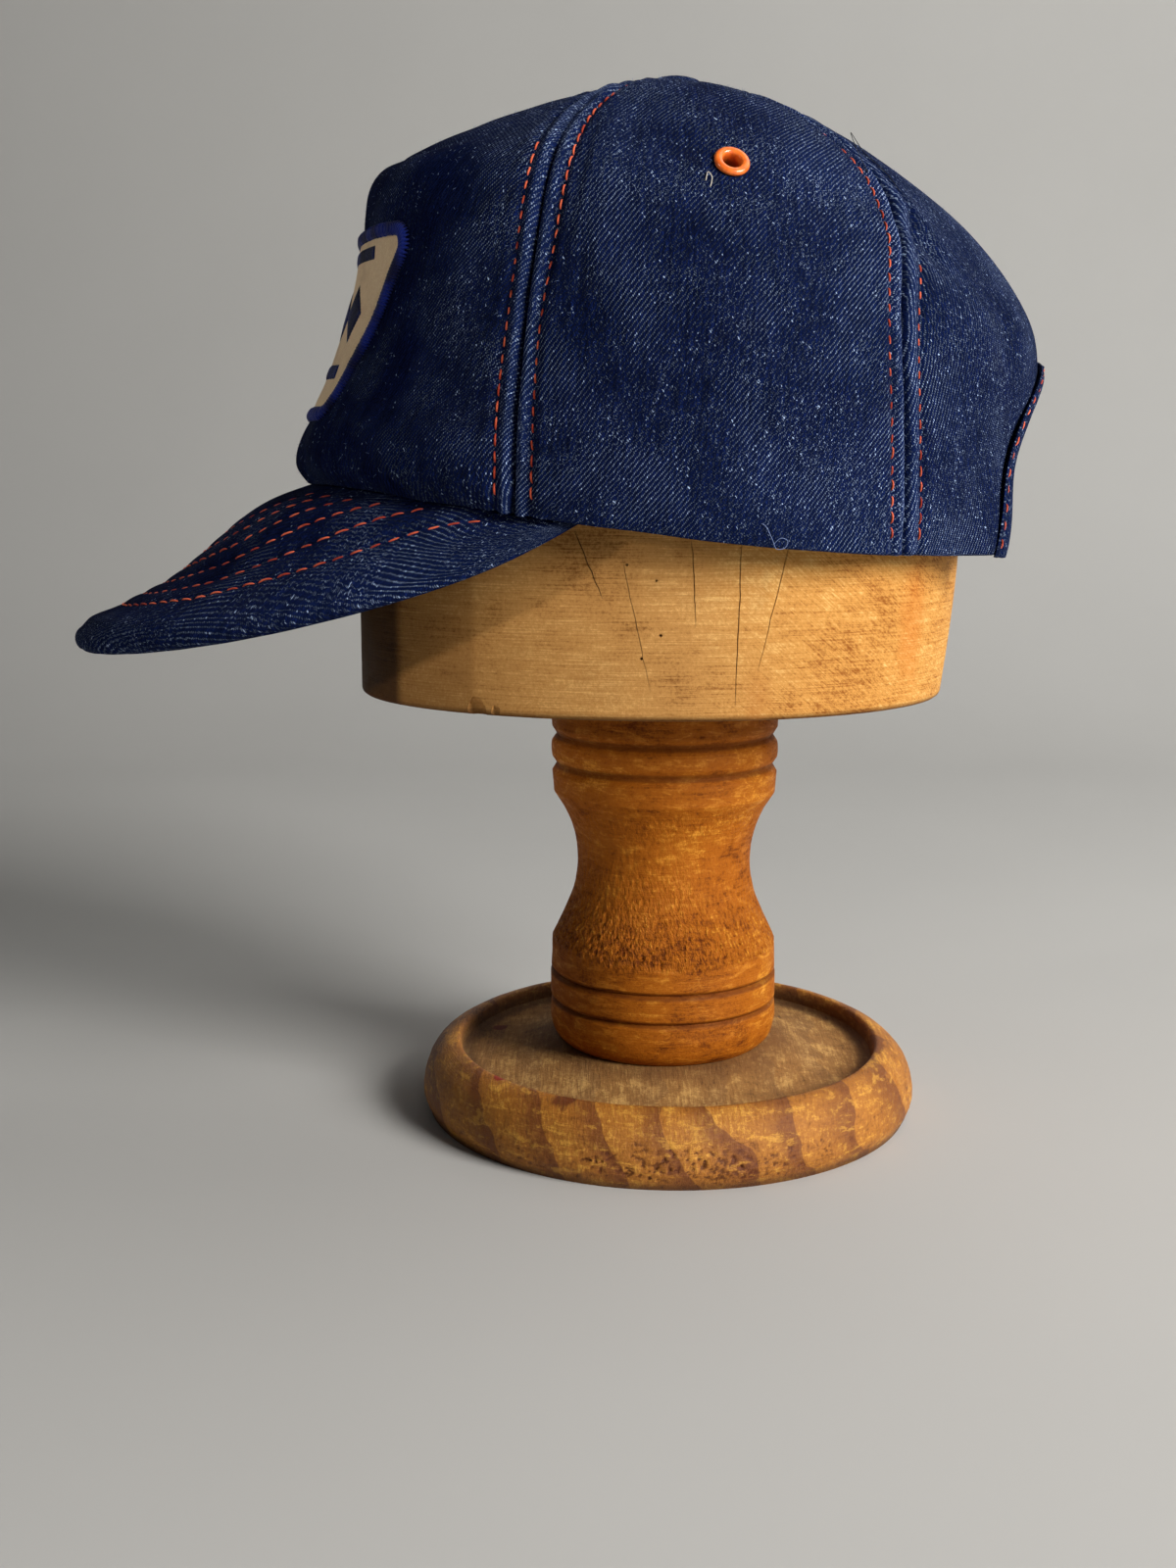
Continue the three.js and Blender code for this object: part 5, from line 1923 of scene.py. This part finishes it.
# %% Foot material
def base_material():
    made, tree, shader, place, apart, wood = wood_material("base_wood", 0.3)
    squares = [tree.times(apart[k], apart[k]) for k in (0, 1)]
    reach = tree.math("POWER", tree.math("ADD", *squares), 0.5)
    fibre = tree.noise(tree.stretched(place, 0.09, 1.1, 0.5), 1.0, 6.0, 0.7, 0.3)
    # Year rings cross the disc: each darkens slowly and ends at once.
    grown = tree.plus(apart[1], tree.noise(place, 0.03, 3.0, 0.55), 26.0)
    grown = tree.plus(grown, apart[2], 0.35)
    ring = tree.math("FRACT", tree.math("DIVIDE", grown, 17.0))
    late = tree.times(tree.ramp(ring, 0.35, 0.93), tree.ramp(ring, 1.0, 0.975))
    tone = summed(tree, 0.52, (wood["Patch"], 1.5), (wood["Speckle"], 0.8), (fibre, 1.2),
                  (wood["Blotch"], 0.9))
    tone = tree.plus(tone, worn_here(tree), -0.8)
    base = overlaid(
        tree, three_tones(tree, tone, (108, 60, 18), (176, 112, 42), (228, 168, 70)),
        (tree.times(late, 0.66), (102, 50, 30)),
        (tree.ramp(wood["Patch"], 0.56, 0.6, 0, 0.45), (220, 160, 64)))
    in_dish = tree.times(tree.ramp(reach, 64.5, 62.5), tree.ramp(apart[2], 8, 12))
    dust = three_tones(tree, tone, (76, 54, 30), (146, 108, 62), (200, 160, 100))
    base = tree.mix(tree.times(in_dish, 0.8), base, dust)
    # Painted shade: a dark ring in the corner where the dish meets the rim.
    corner = tree.times(tree.ramp(reach, 57.5, 61.5), tree.ramp(reach, 64.6, 62.8))
    base = overlaid(tree, base, (tree.times(corner, 0.7), (62, 38, 22)),
                   (tree.ramp(reach, 42, 35.5, 0, 0.5), (96, 58, 26)))
    marks = (((-20.0, -53.0, 16.0), 2.6, 0.5, 2.5, (96, 26, 20)),
             ((41.0, -49.5, 20.5), 2.2, 0.4, 2.2, (150, 26, 22)),
             ((58.0, -31.0, 18.0), 4.0, 0.8, 4.0, (104, 50, 26)))
    for centre, radius, soft, ragged, tint in marks:
        mask = spot(tree, place, centre, radius, soft, ragged)
        base = overlaid(tree, base, (tree.times(mask, 0.85), tint))
    base = overlaid(tree, base, (tree.ramp(apart[2], 3.5, 0.5, 0, 0.7), (66, 38, 18)))
    dull = tree.ramp(tree.math("ADD", in_dish, wood["Patch"]), 0.4, 1.2, 0.5, 0.8)
    relief = tree.plus(wood["Height"], fibre, 1.3)
    tree.fill_named(shader, Base_Color=base, Roughness=dull, Normal=tree.bump(relief, 0.22))
    return made


BASE_PROFILE = [(73.6, 0.0), (75.5, 4.5), (75.0, 10.0), (72.6, 15.6), (68.6, 19.2), (65.4, 20.4),
                (64.0, 20.0), (63.0, 17.4), (61.4, 15.2), (50.0, 16.0), (38.0, 18.8), (34.0, 20.0)]


# Heights and radii of the foot: its rim's torn band, and the inner and outer edge of the dish.
RIM_BAND = {"up": 7.5, "spread": 4.2, "deep": 1.5}
DISH = {"inner": 36, "outer": 65}


def torn_rim(vert, radius):
    """How torn the rim is at a point: most on the wearer's left, and in patches."""
    x, _, z = vert.co
    here = hill(z - RIM_BAND["up"], RIM_BAND["spread"]) * (radius > 68) * max(0.0, x / radius)**8
    return here * min(1.0, max(0.15, 1.5 * uneven(vert.co, 9, 9, 9) + 0.75))


def make_base():
    bm = turned_solid(BASE_PROFILE, 1.1, (0.0,), 300)
    middles = ((face, face.calc_center_median()) for face in bm.faces)
    near = [face for face, spot in middles
            if spot.x > 30 and 1 < spot.z < 15 and math.hypot(*spot.xy) > 68]
    edges = list({edge for face in near for edge in face.edges})
    bmesh.ops.subdivide_edges(bm, edges=edges, cuts=1, use_grid_fill=True)
    depths = []
    for vert in bm.verts:
        x, y, z = vert.co
        radius = math.hypot(x, y)
        if radius < DISH["inner"] or z < 0.2:
            depths.append(0.0)
            continue
        torn_here = torn_rim(vert, radius)
        depth = torn(vert.co, 0.9, 1.4, 0.004) * (RIM_BAND["deep"] * torn_here + 0.12 * (radius > 66))
        depths.append(min(1.0, depth / 0.6) * (torn_here > 0.05))
        depth += 0.35 * uneven(vert.co, 16, 16, 8) + 0.14 * uneven(vert.co, 3, 3, 3)
        outer = radius > DISH["outer"]
        direction = Vector((x / radius, y / radius, 0)) if outer else Vector((0, 0, 0.5))
        vert.co = vert.co - direction * depth
    write_map(bm, np.array([(vert.co.x, vert.co.y) for vert in bm.verts]), depths)
    return finish_turned(bm, "foot", base_material(), 50)


ready(make_base(), "base_wood", "stand_base")

# %% [markdown]
# ## Lint and loose threads
# Old denim sheds. Short pale hairs stand off its face, a curl of thread hangs by the rim, and the
# tail of a black thread loops out at the top of the back seam. Each hair is a thin bent spike on
# the cloth's face. Particle hair would need its own settings, so they are joined copies instead.

# %% Loose fibres
def strand(path, radius, sides=5):
    """A thin tube along a path of points in millimetres."""
    bm = bmesh.new()
    path = [Vector(point) for point in path]
    rings = []
    for k, point in enumerate(path):
        ahead = path[min(k + 1, len(path) - 1)] - path[max(k - 1, 0)]
        turn = Vector((0, 0, 1)).rotation_difference(ahead).to_matrix().to_4x4()
        taper = 0.35 if k in (0, len(path) - 1) else 1.0
        ring = bmesh.ops.create_circle(bm, segments=sides, radius=radius * taper,
                                       matrix=Matrix.Translation(point) @ turn)["verts"]
        edges = {edge for vert in ring for edge in vert.link_edges}
        if rings:
            bmesh.ops.bridge_loops(bm, edges=list(edges | rings[-1]))
        rings.append(edges)
    bmesh.ops.holes_fill(bm, edges=open_edges(bm), sides=0)
    return bm


def lint_frames(count):
    """Hairs scattered over the crown, each leaning its own way."""
    dice = np.random.default_rng(21)
    angle = dice.uniform(-180, 180, count)
    share = dice.uniform(0.0, 0.97, count) ** 0.9
    beside_arch = np.abs(turned(angle - ARCH["middle"])) > ARCH["half_angle"] + 1
    on_cloth = beside_arch | (share > ARCH["share"] + 0.02)
    angle, share = angle[on_cloth], share[on_cloth]
    points = crown(angle, share, face_relief(angle, share) - 0.05)
    frames = []
    for point, up in zip(points, normals(angle, share)):
        along = unit(dice.normal(size=3) + up * 0.25) * dice.uniform(0.5, 1.5)
        frames.append((point + up * 0.05, along, unit(np.cross(up, along)), up))
    return frames


LINT = new_material("lint", Roughness=0.9, Base_Color=colour(112, 130, 172))[0]
DARK_THREAD = new_material("dark_thread", Roughness=0.8, Base_Color=colour(8, 9, 16))[0]
PALE_LINT = new_material("pale_lint", Roughness=0.9, Base_Color=colour(196, 190, 178))[0]
HAIR_PATH = [(-0.5, 0, 0), (-0.2, 0.05, 0.16), (0.15, -0.04, 0.3), (0.5, 0, 0.34)]
HAIR = shape_arrays(strand(HAIR_PATH, 0.035, 3))
HAIRS = lint_frames(2600)
ready(joined_copies("lint", HAIR, HAIRS, LINT), "denim")


def loose_thread(name, rows, radius, material):
    """A thread over the crown's face through rows of angle, share and height off the cloth."""
    angle, share, lift = np.array(rows, float).T
    fine = smooth_profile(crown(angle, share, face_relief(angle, share) + lift), 0.35)
    return ready(finish_piece(strand(np.array(fine) * MM, radius * MM), name, material), "denim")


loose_thread("rim_curl", [(14.5, 0.015, 0.2), (15.6, 0.035, 0.9), (16.8, 0.03, 1.2), (16.4, 0.012, 1.3),
                          (15.0, 0.006, 1.2), (14.2, 0.03, 0.9), (13.0, 0.055, 0.5), (12.2, 0.06, 0.1)],
             0.09, LINT)
loose_thread("seam_tail", [(45, 0.665, 0.1), (45.6, 0.70, 1.6), (47.4, 0.735, 3.4), (48.6, 0.725, 3.2),
                           (48.0, 0.70, 2.2), (49.4, 0.665, 1.4), (51, 0.64, 0.9)], 0.1, DARK_THREAD)
loose_thread("lint_speck", [(3.4, 0.555, 0.1), (3.9, 0.57, 0.6), (4.6, 0.56, 0.7), (4.2, 0.545, 0.2)],
             0.14, PALE_LINT)
print(len(HAIRS), "hairs")

# %% [markdown]
# ## Floor and finish
# The floor is a plain pale sheet that curves up into a backdrop, so it has no horizon.

# %% Floor and backdrop
BACKDROP = {"near": 1.5, "bend": -0.6, "radius": 0.5, "top": 3.0, "half_width": 3.0}


def pale_surface(name):
    made, tree, shader = new_material(name, Roughness=0.85)
    cloud = tree.noise(object_place(tree), 0.004, 3.0)
    tone = tree.mix(cloud, (188, 188, 186), (196, 196, 194))
    tree.fill_named(shader, Base_Color=tone)
    return made


def make_backdrop():
    near, bend, radius, top, half = BACKDROP.values()
    path = [(near, 0), (bend, 0)]
    path += arc((bend, radius), (radius, radius), range(260, 179, -10)) + [(bend - radius, top)]
    bm = bmesh.new()
    edge = [bm.edges.new([bm.verts.new((near, y, 0)) for y in (-half, half)])]
    for (x0, z0), (x1, z1) in zip(path, path[1:]):
        made = bmesh.ops.extrude_edge_only(bm, edges=edge)["geom"]
        fresh = [g for g in made if isinstance(g, bmesh.types.BMVert)]
        bmesh.ops.translate(bm, verts=fresh, vec=(x1 - x0, 0, z1 - z0))
        edge = [g for g in made if isinstance(g, bmesh.types.BMEdge) and
                all(v in fresh for v in g.verts)]
    return finish_piece(bm, "backdrop", pale_surface("pale_backdrop"))


backdrop = make_backdrop()
print("backdrop", len(backdrop.data.polygons), "faces")
